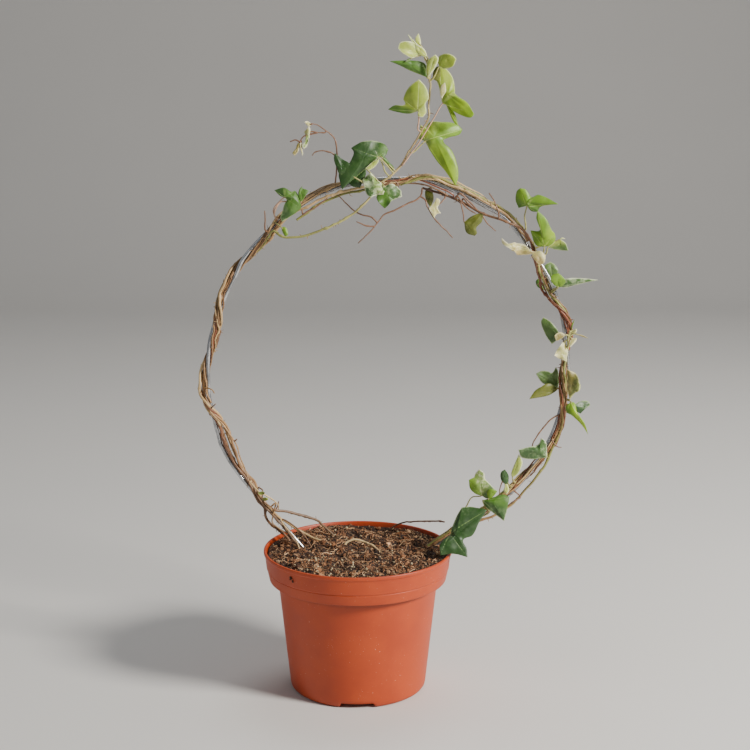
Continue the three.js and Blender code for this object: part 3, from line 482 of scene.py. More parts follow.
def leaf_skin_group():
    """A leaf's drawing: pale veins and side ribs that fade outwards, a rim of
    another tone, and marbling between the veins."""
    tree, n, source, sink = shader_group(
        "leaf drawing",
        [("Place", "Vector", None), ("Blade", "Color", None), ("Rim", "Color", None),
         ("Vein Tone", "Color", None), ("Vein Gap", "Float", 1.0), ("Rib Gap", "Float", 1.0),
         ("Edge Gap", "Float", 1.0), ("Marbling", "Float", 0.0), ("Rim Width", "Float", 0.0),
         ("Under", "Float", 0.0)],
        [("Colour", "Color"), ("Relief", "Float"), ("Clouding", "Float")])
    place = source["Place"]
    cloud = n.noise(place, 330.0, 5.0, 0.62)
    fine = n.noise(place, 1500.0, 3.0, 0.6)
    broad = n.noise(place, 120.0, 2.0)
    # Clouding and marbling of the blade.
    blade = n.mix(n.ramp(broad, 0.32, 0.7), n.tinted(source["Blade"], (0.78, 0.82, 0.72)),
                  n.tinted(source["Blade"], (1.18, 1.13, 1.1)))
    marble = n.math("MULTIPLY", n.ramp(cloud, 0.47, 0.6), source["Marbling"])
    blade = n.mix(marble, blade, source["Rim"])
    # The rim wanders in and out with the clouding.
    wander = n.math("MULTIPLY", n.math("SUBTRACT", cloud, 0.42), 3.2)
    width = n.math("MULTIPLY", source["Rim Width"], n.math("ADD", 0.55, wander))
    rim = n.math("SUBTRACT", 1.0, n.ramp(source["Edge Gap"], n.math("SUBTRACT", width, 0.25),
                                         n.math("ADD", width, 0.35)))
    rim = n.math("MULTIPLY", rim, n.ramp(source["Rim Width"], 0.0, 0.2))
    blade = n.mix(rim, blade, source["Rim"])
    # Veins and ribs.
    vein = n.math("SUBTRACT", 1.0, n.ramp(source["Vein Gap"], 0.08, 0.62))
    rib = n.math("SUBTRACT", 1.0, n.ramp(source["Rib Gap"], 0.02, 0.34))
    rib = n.math("MULTIPLY", rib, n.ramp(source["Edge Gap"], 0.1, 2.0, 0.0, 0.5))
    lines = n.math("MAXIMUM", vein, rib)
    colour = n.mix(n.math("MULTIPLY", lines, 0.85), blade, source["Vein Tone"])
    colour = n.mix(n.ramp(fine, 0.3, 0.7, 0.0, 0.16), colour,
                   n.tinted(colour, (0.7, 0.76, 0.66)))
    pale = n.mix(0.5, n.tinted(colour, (1.25, 1.2, 1.25)), srgb("#a3b184"))
    n.put(n.mix(n.math("MULTIPLY", source["Under"], 0.75), colour, pale), sink["Colour"])
    dent = n.math("MULTIPLY", lines, n.math("MULTIPLY_ADD", source["Under"], 2.0, -1.0))
    n.put(n.math("ADD", n.math("MULTIPLY", dent, 0.8), n.math("MULTIPLY", fine, 0.25)),
          sink["Relief"])
    n.put(cloud, sink["Clouding"])
    return tree


def leaf_skin(drawing):
    """Leathery ivy leaf with a soft gloss and some light through the blade."""
    material, n, sockets = finish_material("ivy leaf", 0.4, Subsurface_Weight=0.08,
                                           Subsurface_Scale=0.0012)
    sockets["Subsurface Radius"].default_value = (0.7, 1.0, 0.25)
    place = n.make("ShaderNodeTexCoord").outputs["Object"]
    marks = n.make("ShaderNodeSeparateXYZ", {"Vector": n.attribute("marks", "Vector")}).outputs
    rows = use(n, drawing, Place=place, Blade=n.attribute("blade"), Rim=n.attribute("rim"),
               Vein_Tone=n.attribute("vein"), Vein_Gap=marks[0], Rib_Gap=marks[1],
               Edge_Gap=marks[2], Marbling=n.attribute("blade", "Alpha"),
               Rim_Width=n.attribute("rim_width", "Fac"), Under=n.attribute("under", "Fac"))
    n.put(rows["Colour"], sockets["Base Color"])
    n.put(n.ramp(rows["Clouding"], 0.3, 0.7, 0.38, 0.54), sockets["Roughness"])
    raised(n, sockets, rows["Relief"], 0.18, 0.7)
    return material


def crumb_finish(name):
    """Loose bits that each carry their own tone, with a rough broken surface."""
    material, n, sockets = finish_material(name, 0.85)
    place = n.make("ShaderNodeTexCoord").outputs["Object"]
    tone = n.attribute("tone")
    grain = n.noise(place, 1400.0, 3.0, 0.7)
    n.put(n.mix(n.ramp(grain, 0.3, 0.7), n.tinted(tone, (0.55, 0.5, 0.46)),
                n.tinted(tone, (1.25, 1.22, 1.2))), sockets["Base Color"])
    raised(n, sockets, grain, 0.25, 0.8)
    return material


# ---- tones ----

# Leaf tones: blade, rim and vein colours, marbling, and the rim's width in mm.
LEAF_TONES = {
    "deep": ("#2b4c1f", "#6f8a50", "#86a35c", 0.06, 0.0),
    "deep_edged": ("#3a5a2c", "#a9bb88", "#8ea56e", 0.15, 0.35),
    "mid": ("#4c7422", "#8ba358", "#9bb062", 0.05, 0.0),
    "grey": ("#5d7a40", "#a5b583", "#a3b67c", 0.12, 0.3),
    "grey_edged": ("#4c6d39", "#c9d4ac", "#a3b983", 0.4, 0.5),
    "lime": ("#86a819", "#b3c64a", "#b9cc5c", 0.04, 0.0),
    "spring": ("#6d9420", "#a9be52", "#aec45c", 0.05, 0.0),
    "young": ("#98ad3a", "#cbd68a", "#c8d681", 0.06, 0.4),
    "pale": ("#b3c258", "#e0e6b2", "#d8e0a0", 0.1, 0.4),
    "olive": ("#646a22", "#90924c", "#94964e", 0.1, 0.0),
    "cream": ("#cbc584", "#e3dfb6", "#b5ac6c", 0.35, 0.4),
    "straw": ("#a8965c", "#cdbf8c", "#978550", 0.3, 0.4),
    "withered": ("#857a40", "#c5ba86", "#a5955c", 0.3, 0.5),
    "cream_green": ("#8ca757", "#dfe4b8", "#cbd79c", 0.6, 0.6),
    "olive_edged": ("#646f30", "#c0c285", "#9ea05c", 0.15, 0.7),
}

STEM_TONES = {
    "bark": srgb("#73543b"),
    "tan": srgb("#a07e57"),
    "straw": srgb("#bfa679"),
    "dark": srgb("#543a2b"),
    "red": srgb("#7f4832"),
    "twig": srgb("#795843"),
    "green": srgb("#7f8244"),
    "young": srgb("#9e9b5e"),
    "old": srgb("#75614e"),
    "pink": srgb("#b3917a"),
}

# ---- leaves ----

EDGE_STEP = 0.8
RING_GAP = 1.3
RING_SPAN = (0.06, 0.9)
RIM_RINGS = (0.96, 1.0)

def leaf_edge(corners, sharp, step):
    """Points along a leaf's closed edge. Each span between two corners is a cubic
    that starts and ends along the line past its corners, or straight at the
    sharp ones."""
    ahead = unit(np.roll(corners, -1, axis=0) - np.roll(corners, 1, axis=0))
    points = []
    for i in range(len(corners)):
        j = (i + 1) % len(corners)
        span = corners[j] - corners[i]
        length = np.linalg.norm(span)
        leave = span if sharp[i] else ahead[i] * length
        arrive = span if sharp[j] else ahead[j] * length
        t = np.linspace(0, 1, int(np.clip(length / step, 2, 12)), endpoint=False)[:, None]
        points.append(corners[i] * (1 - t) ** 2 * (1 + 2 * t) + corners[j] * t ** 2 * (3 - 2 * t)
                      + leave * t * (1 - t) ** 2 - arrive * t ** 2 * (1 - t))
    return np.vstack(points)


def blade_outline(leaf, seed):
    """The blade's edge in its own frame, a little ragged, each point's angle round
    the heart, the longest way from the heart to the edge, and the frame's three
    directions: to the base, across, and the way that the blade faces."""
    heart = np.array(leaf["heart"], float)
    corners = np.array([(0, 0, 0), *(p[:3] for p in leaf["edge"])], float) - heart
    sharp = [True, *(len(p) > 3 for p in leaf["edge"])]
    facing = unit(np.cross(corners, np.roll(corners, -1, axis=0)).sum(axis=0))
    first = unit(corners[0] - (corners[0] @ facing) * facing)
    frame = np.stack([first, np.cross(facing, first), facing], axis=1)
    edge = leaf_edge(corners, sharp, EDGE_STEP) @ frame
    longest = np.linalg.norm(edge[:, :2], axis=1).max()
    angle = np.arctan2(edge[:, 1], edge[:, 0])
    about = np.column_stack([np.cos(angle), np.sin(angle), np.zeros_like(angle)])
    edge[:, :2] *= 1 + leaf["ragged"] * noise(about, 0.23, seed)[:, None]
    return edge, angle, longest, frame


def by_veins(here, root, tips):
    """Where points lie beside the veins, which run straight from the base to the
    tips: the distance off each vein, each vein's length, and, for the nearest
    vein alone, the distance off it, the way along it and its length."""
    veins = tips - root
    reach = np.linalg.norm(veins, axis=1)
    part = np.clip(((here[..., None, :] - root) * veins).sum(-1) / reach ** 2, 0, 1)
    off = np.linalg.norm(here[..., None, :] - root - part[..., None] * veins, axis=-1)
    near = np.argmin(off, axis=-1)[..., None]
    off_near = np.take_along_axis(off, near, axis=-1)[..., 0]
    along = (np.take_along_axis(part, near, axis=-1) * reach[near])[..., 0]
    return off, reach, off_near, along, reach[near[..., 0]]


def edge_gap(here, edge):
    """The distance of each point from the blade's edge."""
    run = np.roll(edge, -1, axis=0) - edge
    flat = here.reshape(-1, 1, 2)
    t = np.clip(((flat - edge) * run).sum(-1) / np.maximum((run ** 2).sum(-1), 1e-9), 0, 1)
    gap = np.linalg.norm(flat - edge - t[..., None] * run, axis=-1).min(axis=1)
    return gap.reshape(here.shape[:2])


def blade_tones(leaf, off, reach):
    """Tones at each point: those of the tips, each weighing more near its vein."""
    weight = 1 / (off + 0.1 * reach + 0.4) ** 4
    weight /= weight.sum(axis=-1, keepdims=True)
    tones = [LEAF_TONES[p[3]] for p in leaf["edge"] if len(p) > 3]
    return {"blade": weight @ np.array([[*srgb(t[0]), t[3]] for t in tones]),
            "rim": weight @ np.array([[*srgb(t[1]), 1] for t in tones]),
            "vein": weight @ np.array([[*srgb(t[2]), 1] for t in tones]),
            "rim_width": weight @ np.array([t[4] for t in tones])}


def both_faces(rows):
    """The same rows for a blade's two faces, with a value for each end point."""
    flat = np.concatenate([rows, rows[::-1]]).reshape(-1, *rows.shape[2:])
    return np.concatenate([flat, rows[0, :1], rows[0, :1]])


def leaf_blade(growth, leaf, seed):
    """A blade on rings between its heart and its edge. The sheet is domed over
    the heart, lies lower along the veins, waves near the edge and is crumpled by
    noise. The two faces meet at a thin edge."""
    rng = np.random.default_rng(seed)
    edge, angle, longest, frame = blade_outline(leaf, seed)
    first, second, facing = frame.T
    rings = int(np.clip(longest / RING_GAP, 4, 12))
    out = np.concatenate([np.linspace(*RING_SPAN, rings), RIM_RINGS])[:, None]
    here = edge[:, :2] * out[..., None]
    tips = np.array([p[:3] for p in leaf["edge"] if len(p) > 3]) - np.array(leaf["heart"], float)
    off, reach, off_near, along, reach_near = by_veins(here, edge[0, :2], (tips @ frame)[:, :2])

    arch = longest * leaf["arch"] * (1 - out ** 2)
    swell = leaf["swell"] * 3.0 * (1 - np.exp(-off_near / 2.4)) * (1 - out ** 3)
    wave = leaf["wave"] * longest * out ** 3 * np.sin(leaf["waves"] * angle + rng.uniform(0, 6.3))
    height = edge[:, 2] * out + arch + swell + wave
    heart = np.array(leaf["heart"], float) + np.array(leaf["base"], float)
    sheet = heart + here[..., :1] * first + here[..., 1:] * second + height[..., None] * facing
    folds = noise(sheet.reshape(-1, 3), 4.2, seed).reshape(height.shape)
    sheet = sheet + (leaf["crumple"] * folds * np.minimum(1, out * 1.5))[..., None] * facing
    half = leaf["thick"] / 2 * np.sqrt(1 - 0.92 * out ** 8)[..., None] * facing
    middle = heart + arch[0] * facing
    middle_half = leaf["thick"] / 2 * facing
    rows = np.concatenate([sheet - half, (sheet + half)[::-1]])
    points = np.vstack([rows.reshape(-1, 3), middle - middle_half, middle + middle_half])

    # The drawing: distance off the nearest vein, place among its side ribs, and
    # distance from the edge.
    width = 0.6 * (1.1 - 0.7 * along / reach_near) * np.clip(longest / 16, 0.6, 1.2)
    ribs = (along - 0.85 * off_near) / np.clip(longest / 6, 1.4, 3.0)
    marks = np.stack([off_near / width, ribs, edge_gap(here, edge[:, :2])], axis=-1)
    values = {**blade_tones(leaf, off, reach), "marks": marks}
    back = np.concatenate([np.ones(height.size), np.zeros(height.size), [1, 0]])
    growth.add(points, ring_faces(*rows.shape[:2]),
               **{name: both_faces(each) for name, each in values.items()}, under=back)


LEAF_LOOK = {"ragged": 0.012, "swell": 0.17, "arch": 0.06, "wave": 0.015, "waves": 4,
             "crumple": 0.42, "thick": 0.42, "stalk_tone": "young"}


def leaf(base, heart, edge, stalk=(), **look):
    """A leaf: the base of its blade, and from that base the heart, a place from
    which the whole edge can be seen, and the edge from the base round to the
    left, where each pointed tip has a tone. Last, the points that its stalk
    passes on the way from the stem, or None where another blade carries it."""
    return {"base": base, "heart": heart, "edge": edge, "stalk": stalk, **LEAF_LOOK, **look}


STEM_BUILD = {"radius": 0.78, "step": 0.8, "sides": 12, "taper": (1.05, 0.95), "rough": 1.0}
TWIG_BUILD = {"radius": 0.5, "step": 0.7, "sides": 10, "taper": (1.05, 0.6), "rough": 0.7}


def stem(name, tones, route, leaves=(), twigs=(), strands=(), **build):
    """A stem that stands for the node of its name: its tones from the soil on, its
    route, what grows on it, and the slender strands beside it, each with its place
    in the bundle, the hoop angles where it starts and ends, and its tones."""
    return {"name": name, "tones": tones, "route": route, "leaves": leaves, "twigs": twigs,
            "strands": strands, "build": {**STEM_BUILD, **build}}


def twig(route, leaves=(), twigs=(), tone="twig"):
    """A thin side shoot of one tone, with what grows on it."""
    return {"tones": (tone, tone), "route": route, "leaves": leaves, "twigs": twigs,
            "strands": (), "build": TWIG_BUILD}


# ---- stems ----


def knotted(along, sides, radius, seed, rough=1.0):
    """The radius of a stem at each ring and side: slow swelling, a swollen knot
    about every centimetre with a leaf scar on one side, and slightly flat sides
    that turn round the stem."""
    rng = np.random.default_rng(seed)
    turn = np.linspace(0, 2 * np.pi, sides, endpoint=False)
    size = radius * (1 + 0.06 * rough * noise(on_line(along), 9.0, seed))[:, None]
    size = size * (1 + 0.05 * rough * np.cos(2 * turn + along[:, None] / 11 + seed))
    count = int(along[-1] / 9) + 1
    for place, side in zip(rng.uniform(0, along[-1], count), rng.uniform(0, 6.3, count)):
        near = np.exp(-((along - place) / 0.9) ** 2)[:, None]
        scar = np.clip(np.cos(turn - side), 0, 1) ** 2
        size = size + radius * rough * near * (0.15 + 0.45 * scar)
    return size


def stem_tone(along, tones, seed):
    """Colour along a stem: straight blends between tones spread over its length,
    made lighter and darker in slow patches."""
    colours = np.array([STEM_TONES[name] for name in tones])
    stops = np.linspace(0, along[-1], len(tones))
    rows = np.column_stack([np.interp(along, stops, colours[:, k]) for k in range(3)])
    patch = noise(on_line(along, 3), 14.0, seed)
    fine = noise(on_line(along, 9), 3.0, seed)
    return rows * (1 + 0.22 * patch + 0.1 * fine)[:, None]


def bark_rod(growth, route, radius, tones, seed, step=0.8, sides=12, taper=(1, 1), rough=1.0):
    """A stem, stalk or twig along its route, which wavers a little between its two
    ends, and the path that it follows."""
    path, along = smooth_path(route, step)
    waver = np.column_stack([0.8 * noise(on_line(along, shift), 9.0, seed)
                             + 0.4 * noise(on_line(along, shift), 3.5, seed)
                             for shift in (0, 40, 80)])
    ends = np.minimum(along, along[-1] - along)
    path = path + waver * (0.45 * rough * smoothstep(ends, 0, 6))[:, None]
    size = knotted(along, sides, radius, seed, rough)
    size = size * np.interp(along, [0, along[-1] * 0.7, along[-1]],
                            [taper[0], (taper[0] + taper[1]) / 2, taper[1]])[:, None]
    points, faces, turns = tube(path, size, sides)
    rows = stem_tone(along, tones, seed)
    rows = np.column_stack([rows, np.ones(len(rows))])
    tone = np.vstack([np.repeat(rows, sides, axis=0), rows[0], rows[-1]])
    far = np.concatenate([np.repeat(along, sides), [0, along[-1]]])
    place = np.column_stack([np.cos(turns) * radius, np.sin(turns) * radius, far + 37 * seed])
    growth.add(points, faces, tone=tone, bark_place=place)
    return path


def rootlets(growth, path, radius, tones, seed):
    """Short clinging roots and broken stubs that stand off a stem here and there,
    more of them near the soil."""
    rng = np.random.default_rng(seed)
    places = np.arange(6, max(len(path) - 6, 6))
    often = np.where(path[places, 2] < SOIL_TOP + 14, 0.4, 0.11)
    for at in places[rng.uniform(0, 1, len(places)) < often]:
        ahead = unit(path[at + 1] - path[at])
        side = unit(np.cross(ahead, rng.normal(size=3)))
        length = rng.uniform(0.7, 2.4)
        lean = rng.uniform(-0.8, 0.8) * ahead + rng.uniform(-0.3, 0.3) * np.cross(ahead, side)
        route = [path[at], path[at] + (radius + 0.4 * length) * side,
                 path[at] + (radius + length) * side + length * lean]
        bark_rod(growth, route, rng.uniform(0.13, 0.26), tones, seed + int(at), 0.6, 6, (1.2, 0.5), 0)


def nearest(path, place):
    """The point of a path that lies nearest to a place."""
    return path[np.argmin(np.linalg.norm(path - np.asarray(place, float), axis=1))]


STALK_RADIUS = 0.45
STALK_INTO_BLADE = 1.3
STRAND_RADIUS = 0.5


def grow(bark_growth, leaf_growth, part, seed):
    """Makes a stem or twig with the stalks, leaves and twigs that grow on it, and
    the slender strands beside it."""
    path = bark_rod(bark_growth, part["route"], tones=part["tones"], seed=seed, **part["build"])
    if part["build"] is not TWIG_BUILD:
        rootlets(bark_growth, path, part["build"]["radius"] * 0.8, ("bark", "tan"), seed + 7)
    for i, each in enumerate(part["leaves"]):
        leaf_blade(leaf_growth, each, seed * 7 + i + 1)
        if each["stalk"] is None:
            continue
        base = np.array(each["base"], float)
        root = nearest(path, each["stalk"][0] if each["stalk"] else base)
        inward = STALK_INTO_BLADE * unit(np.array(each["heart"], float))
        route = [root, *each["stalk"], base, base + inward]
        bark_rod(bark_growth, route, STALK_RADIUS, (each["stalk_tone"],) * 2, seed + 50 + i,
                 0.7, 9, (1.15, 0.7), 0.25)
    for i, each in enumerate(part["twigs"]):
        route = [nearest(path, each["route"][0]), *each["route"]]
        grow(bark_growth, leaf_growth, {**each, "route": route}, seed + 90 + i)
    for i, (place, start, end, *tones) in enumerate(part["strands"]):
        strand = bark_rod(bark_growth, wound(place, start, end), STRAND_RADIUS, tones,
                          seed + 140 + i, 0.8, 9, (1, 0.7))
        rootlets(bark_growth, strand, STRAND_RADIUS * 0.8, tones, seed + 160 + i)


# Places are across, back and up from the middle of the pot's foot. A leaf's heart
# and edge are from its base.
STEMS = [
    stem(
        name="stem_over_the_top",
        tones=("old", "bark", "tan", "bark", "straw", "tan"),
        route=[
            (-12, 31, 75), (-14.5, 30.5, 86), (-21, 27.5, 95.5), (-27, 23, 102.5),
            (-38, 18, 107.5), (-48, 14.5, 111), (-52.5, 12, 112.5),
            *wound("upper", 231, 42, [(205, 0.8, 10)]),
        ],
        twigs=[
            twig([(-51.5, 12, 116), (-51, 11, 118.5)]),
            twig([(-93.5, 7, 179), (-91, 7, 175.5), (-86, 7, 170.5), (-82.5, 7, 165.5),
                (-77, 7, 157), (-75, 7, 149), (-73, 7, 143.5), (-70.5, 6, 137.5),
                (-68.5, 5, 131)], [], [
                twig([(-91.5, 6, 182), (-89.5, 5, 184)]),
                twig([(-78, 7, 159.5), (-76.5, 6, 161)]),
            ], "tan"),
            twig([(-93.5, 6, 193.5), (-91.5, 5, 193), (-90, 4, 191)], tone="tan"),
            twig([(38.5, 9, 327), (51, 8, 326), (58.5, 7, 324.5), (62, 7, 322.5), (69.5, 7, 319),
                (74.5, 7, 316.5), (79.5, 7, 312.5), (83, 7, 309.5)], [], [
                twig([(82, 7, 310.5), (84.5, 6, 311)], tone="straw"),
                twig([(81.5, 7, 311), (83.5, 8, 307.5)], tone="straw"),
            ], "straw"),
        ],
        strands=[("low_side", 196, 104, "bark", "tan", "bark"), ("low_side", 88, 62, "tan", "straw")],
    ),
    stem(
        name="stem_to_top_shoot",
        tones=("old", "bark", "tan", "bark", "green", "young", "straw", "young"),
        taper=(1.05, 0.72),
        route=[
            (-31, 7, 75), (-36.5, 7, 87), (-44.5, 6.5, 98.5), (-50.5, 6.5, 106),
            *wound("ridge", 231, 132, [(205, 4, 12), (188, 1.2, 9)]),
            (-51.5, 5.5, 293.5), (-47.5, 4, 290.5), (-43, 3, 289.5), (-37.5, 2, 289.5),
            (-32, 1.5, 290.5), (-23, 0.5, 294), (-16.5, 0, 296.5), (-7.5, 0, 301), (2, 0, 307.5),
            (9, 1, 316), (14, 2, 322), (21.5, 2, 328), (27.5, 2, 335), (32.5, 1, 343),
            (36.5, 0.5, 349.5), (40.5, 0, 356), (43.5, 0, 361), (43.5, 1, 369.5),
            (44.5, 1, 380), (44, 0, 384.5), (43, -1, 391.5), (41, -1, 398), (39, 0, 404),
        ],
        leaves=[
            leaf((13, 0, 338.5), (-8.5, 0.5, 0), [(4, 2, 0.5), (6, 3, 4.5, "mid"), (4, 3, 7.5),
                (0.5, 3, 9), (-4, 2, 10, "deep_edged"), (-10.5, 1, 9), (-16.5, 0, 5.5, "deep"), (-15, 0, 3),
                (-17, 0, -2.5), (-20.5, 0, -6.5), (-24, 0, -9.5), (-23.5, -1, -15),
                (-22, -1, -19.5, "deep"), (-19, -1, -16.5), (-14, 0, -12.5), (-7.5, 0, -7)],
                [(17, 1, 330), (15.5, 1, 334.5)], swell=0.16),
            leaf((-4, -0.5, 328), (-5, 0.5, 3.5), [(0, 0, 6), (-5, 1, 9.5),
                (-9.5, 1, 13, "deep"), (-10, 1, 9.5), (-8.5, 0, 4.5), (-5.5, 0, -1)]),
            leaf((5.5, 3, 331), (-4.5, 0, -6.5), [(-2.5, 0, -0.5), (-6.5, 0, -4),
                (-10.5, 0, -8.5, "deep"), (-8, 0, -10.5), (-3.5, 0, -11, "deep"), (-2, 0, -7.5),
                (0, 0, -3)], [(9, 2, 328)]),
            leaf((13.5, -1.5, 338), (-4, -0.5, -4.5), [(-3, 0, -1.5), (-8.5, -1, -6, "pale"),
                (-6, -1, -7.5, "pale"), (-3, 0, -5.5), (-0.5, 0, -2.5)]),
            leaf((14.5, 0, 339), (5, 1.5, -5), [(2, 1, -3.5), (4.5, 2, -6.5), (7.5, 3, -9, "mid"),
                (8, 3, -7), (5, 2, -3.5), (2.5, 1, -0.5)]),
            leaf((8.5, 1, 328.5), (2, -2, -7.5), [(-5, 0, -3), (-4.5, -1, -6), (-2.5, -3, -12.5),
                (0, -4, -14.5, "grey_edged"), (3, -3, -13), (7.5, -3, -12.5, "cream_green"),
                (8.5, -2, -9), (5, 0, -4.5)], crumple=1.7, wave=0.13, waves=5),
            leaf((16.5, 0, 321), (2.5, -1, -5.5), [(-4.5, -1, -6), (-3.5, -3, -9.5),
                (0.5, -4, -13, "mid"), (3.5, -3, -10.5), (5, -2, -8.5), (11, -1, -6.5, "grey_edged"),
                (10.5, 0, -2.5, "grey_edged"), (7.5, 1, 0), (4.5, 1, 1)], crumple=1.5, wave=0.1,
                waves=5),
            leaf((41.5, 2, 348), (5.5, 0.5, 2), [(2.5, -1, -5), (7, -2, -11.5), (12, -3, -17.5),
                (18.5, -5, -26.5, "lime"), (20, -4, -21.5), (19.5, -3, -14.5), (16, -1, -5.5),
                (11, 0, 0), (14, 2, 2), (21, 4, 4), (23, 4, 7, "spring"), (19, 4, 10.5), (9.5, 4, 11.5),
                (3, 3, 11.5), (0, 2, 8.5), (-3, 2, 10, "young"), (-3.5, 1, 4.5), (-4.5, 1, 1.5, "grey")],
                [(33.5, 2, 341)]),
            leaf((37, -1, 366), (0.5, 1, 2.5), [(0, -1, -3), (3, -1, -3.5, "pale"), (5, -1, -0.5),
                (4.5, 0, 4.5), (6.5, 1, 8), (4.5, 0, 14.5), (0.5, -1, 19, "young"), (-4.5, 0, 15.5),
                (-7.5, 1, 11.5), (-9, 2, 7, "young"), (-8, 2, 4), (-14, 4, 3.5), (-18, 6, 1, "mid"),
                (-12.5, 4, -0.5), (-5.5, 2, -1.5)],
                [(37, -1, 355), (37.5, -1, 361)], stalk_tone="pink"),
            leaf((51.5, -2, 370.5), (3.5, 0, 5), [(3, -1, -1), (6, -2, -4), (12, -4, -7), (17, -6, -8),
                (19, -6, -6, "lime"), (15, -5, 0.5), (8, -1, 5.5), (7.5, 2, 9.5), (6.5, 4, 15),
                (4, 6, 19), (-1, 7, 22.5, "young"), (-4.5, 5, 17.5), (-2, 3, 10), (-1, 1, 4.5)],
                [(27.5, 0.5, 333.5), (33, 0, 341), (39, -1, 349.5), (45, -2, 359.5)], stalk_tone="pink"),
            leaf((53.5, -2, 370.5), (5, -1, -8), [(1.5, 0, -3.5), (5, -2, -11), (7.5, -2, -13, "lime"),
                (6.5, -1, -8), (4, 0, -3.5)], None),
            # Painted highlight: this small cream blade, set just in front of the leaf, stands for a white
            # glint on its curled edge.
            leaf((51.5, -3.5, 373.5), (0.5, 0, 4.5), [(0.5, 0, 1.5), (2, 0, 4), (2, 0, 6.5),
                (1.5, 0, 9.5, "cream"), (-0.5, 0, 8), (-1.5, 0, 4.5), (-1, 0, 1)], None),
            leaf((49.5, -2, 392.5), (5, -2, 4), [(3, -1, -1.5), (8, -3, 0), (10, -4, 4, "young"),
                (8.5, -4, 6), (5, -3, 7.5), (0.5, -1, 6.5), (-1, 0, 4)], [(45.5, -1, 385)]),
            leaf((42.5, 0, 386), (-10, -1, 7), [(0, 0, 4.5), (-2, 0, 8.5), (-8.5, -1, 10),
                (-16, -3, 10), (-23, -4, 9.5, "mid"), (-16.5, -2, 7), (-11.5, -1, 4.5),
                (-4, 0, 1.5)]),
            leaf((42.5, -3, 385.5), (3, -1, 9.5), [(4, -1, 5.5), (6.5, -2, 11.5),
                (4.5, -2, 14, "pale"), (0.5, -1, 11), (-1, 0, 5.5)]),
            leaf((45.5, 0, 385.5), (3, 0, 3), [(3, 0, -1.5), (5, 0, 1.5, "olive"), (4, 0, 7),
                (1, 0, 5)], [(44.5, 1, 384)]),
            leaf((40, -2, 399), (-8, -2, 3), [(-0.5, 0, 3.5), (-4, -1, 6), (-7.5, -3, 8),
                (-14, -4, 7.5), (-15.5, -4, 4, "pale"), (-13, -4, 1.5), (-9, -3, -1, "pale"),
                (-6, -2, -1.5), (-3.5, -1, 0)]),
            leaf((33, -4, 397.5), (-2.5, 0, -1.5), [(-2.5, 0, -0.5), (-4, 0, -2.5, "grey"),
                (-1.5, 0, -1.5)]),
            leaf((38.5, 0, 404.5), (-2, -0.5, 4), [(0, 0, 3), (-1.5, -1, 7.5, "pale"),
                (-3.5, -1, 4.5), (-2.5, 0, 1)]),
            leaf((37, 0, 405), (-4, -0.5, 3.5), [(-3.5, -1, 3.5), (-6.5, -1, 6.5, "pale"),
                (-5, -1, 3.5), (-2, 0, 0.5)]),
            leaf((42.5, -3, 397.5), (-5, -0.5, 5), [(-2, -1, 5), (-7.5, -1, 8.5, "pale"), (-7, -1, 5),
                (-4, 0, 1.5)], [(42.5, -1, 395)]),
        ],
        twigs=[
            twig([(16.5, 1, 322), (22, 0, 324), (24.5, 0, 323), (25.5, 0, 320.5)]),
            twig([(-69, 8, 132.5), (-63.5, 3, 127.5), (-57, 3, 123.5), (-51.5, 5, 118.5),
                (-51, 10, 113)], [
                leaf((-61, 2.5, 125.5), (-0.5, 0, 1), [(1.5, 0, 0.5), (2, -1, 2, "olive"), (0, -1, 2.5),
                    (-2.5, 0, 1.5, "young"), (-1.5, 0, 0)], None, crumple=0.8),
                leaf((-57, 2.5, 122), (-1.5, 0, 0.5), [(0, 0, 1), (-1, -1, 2, "young"), (-3, 0, 1.5),
                    (-4, 0, 0, "olive"), (-2, 0, -1)], None, crumple=0.8),
            ], tone="straw"),
            twig([(-68, 14, 128), (-61, 6, 127.5), (-61, 4, 122), (-56, 4, 117.5),
                (-52.5, 6, 113.5)], tone="bark"),
            twig([(-52.5, 7, 118.5), (-54.5, 7, 110.5), (-55, 7, 106), (-50, 6, 101.5),
                (-45, 5, 99)], tone="tan"),
        ],
        strands=[("high_side", 192, 150, "tan", "bark")],
    ),
    stem(
        name="stem_cut_at_top",
        tones=("straw", "tan", "straw", "tan", "straw", "straw"),
        route=[
            (-10, 5, 76), (-13.5, 7, 85.5), (-21.5, 14, 90), (-31.5, 18, 93),
            (-39, 19, 97), (-45.5, 16.5, 102.5), (-50, 11, 107.5),
            *wound("flank", 231, 132, [(205, 1.6, 12), (188, 1, 9)]),
            (-44, 8, 300.5), (-37, 7.5, 305), (-30, 7, 308.5), (-21.5, 8, 313),
            (-12, 8, 316.5), (-4, 8, 318.5), (3, 8.5, 320),
            *wound("lower", 91, 47),
        ],
        twigs=[
            twig([(-33.5, 5.5, 303.5), (-30.5, 5, 305.5), (-25.5, 4.5, 308), (-18, 4.5, 313.5)]),
            twig([(-48, 6, 105), (-43.5, 4, 100), (-39.5, 2, 95), (-37, 0, 89)], tone="straw"),
            twig([(-46.5, 9, 106.5), (-39.5, 6, 102.5), (-34, 4, 97.5), (-29.5, 2, 90)],
                tone="bark"),
        ],
        strands=[("low_crown", 200, 128, "straw", "tan"), ("high_side", 140, 84, "tan", "straw")],
    ),
    stem(
        name="stem_with_dried_shoot",
        tones=("bark", "bark", "red", "bark", "tan"),
        route=[
            (-42, 18, 75), (-43, 17.5, 86), (-46.5, 17, 93), (-52, 15, 98.5),
            (-57, 12, 103.5), (-59.5, 9.5, 109),
            *wound("lower", 230, 106, [(191, 1, 7)]),
        ],
        leaves=[
            leaf((-44.5, 2, 314), (5, 0, -0.5), [(1.5, 0, -1.5), (0, -1, -4), (-1, -1, -7.5),
                (-2.5, -1, -12.5), (-1.5, -1, -15, "deep_edged"), (4, -1, -11.5), (10, 1, -7, "mid"),
                (10, 1, -4), (8, 2, 2), (6.5, 2, 4, "mid"), (4, 1, 3.5), (0, 0, 6),
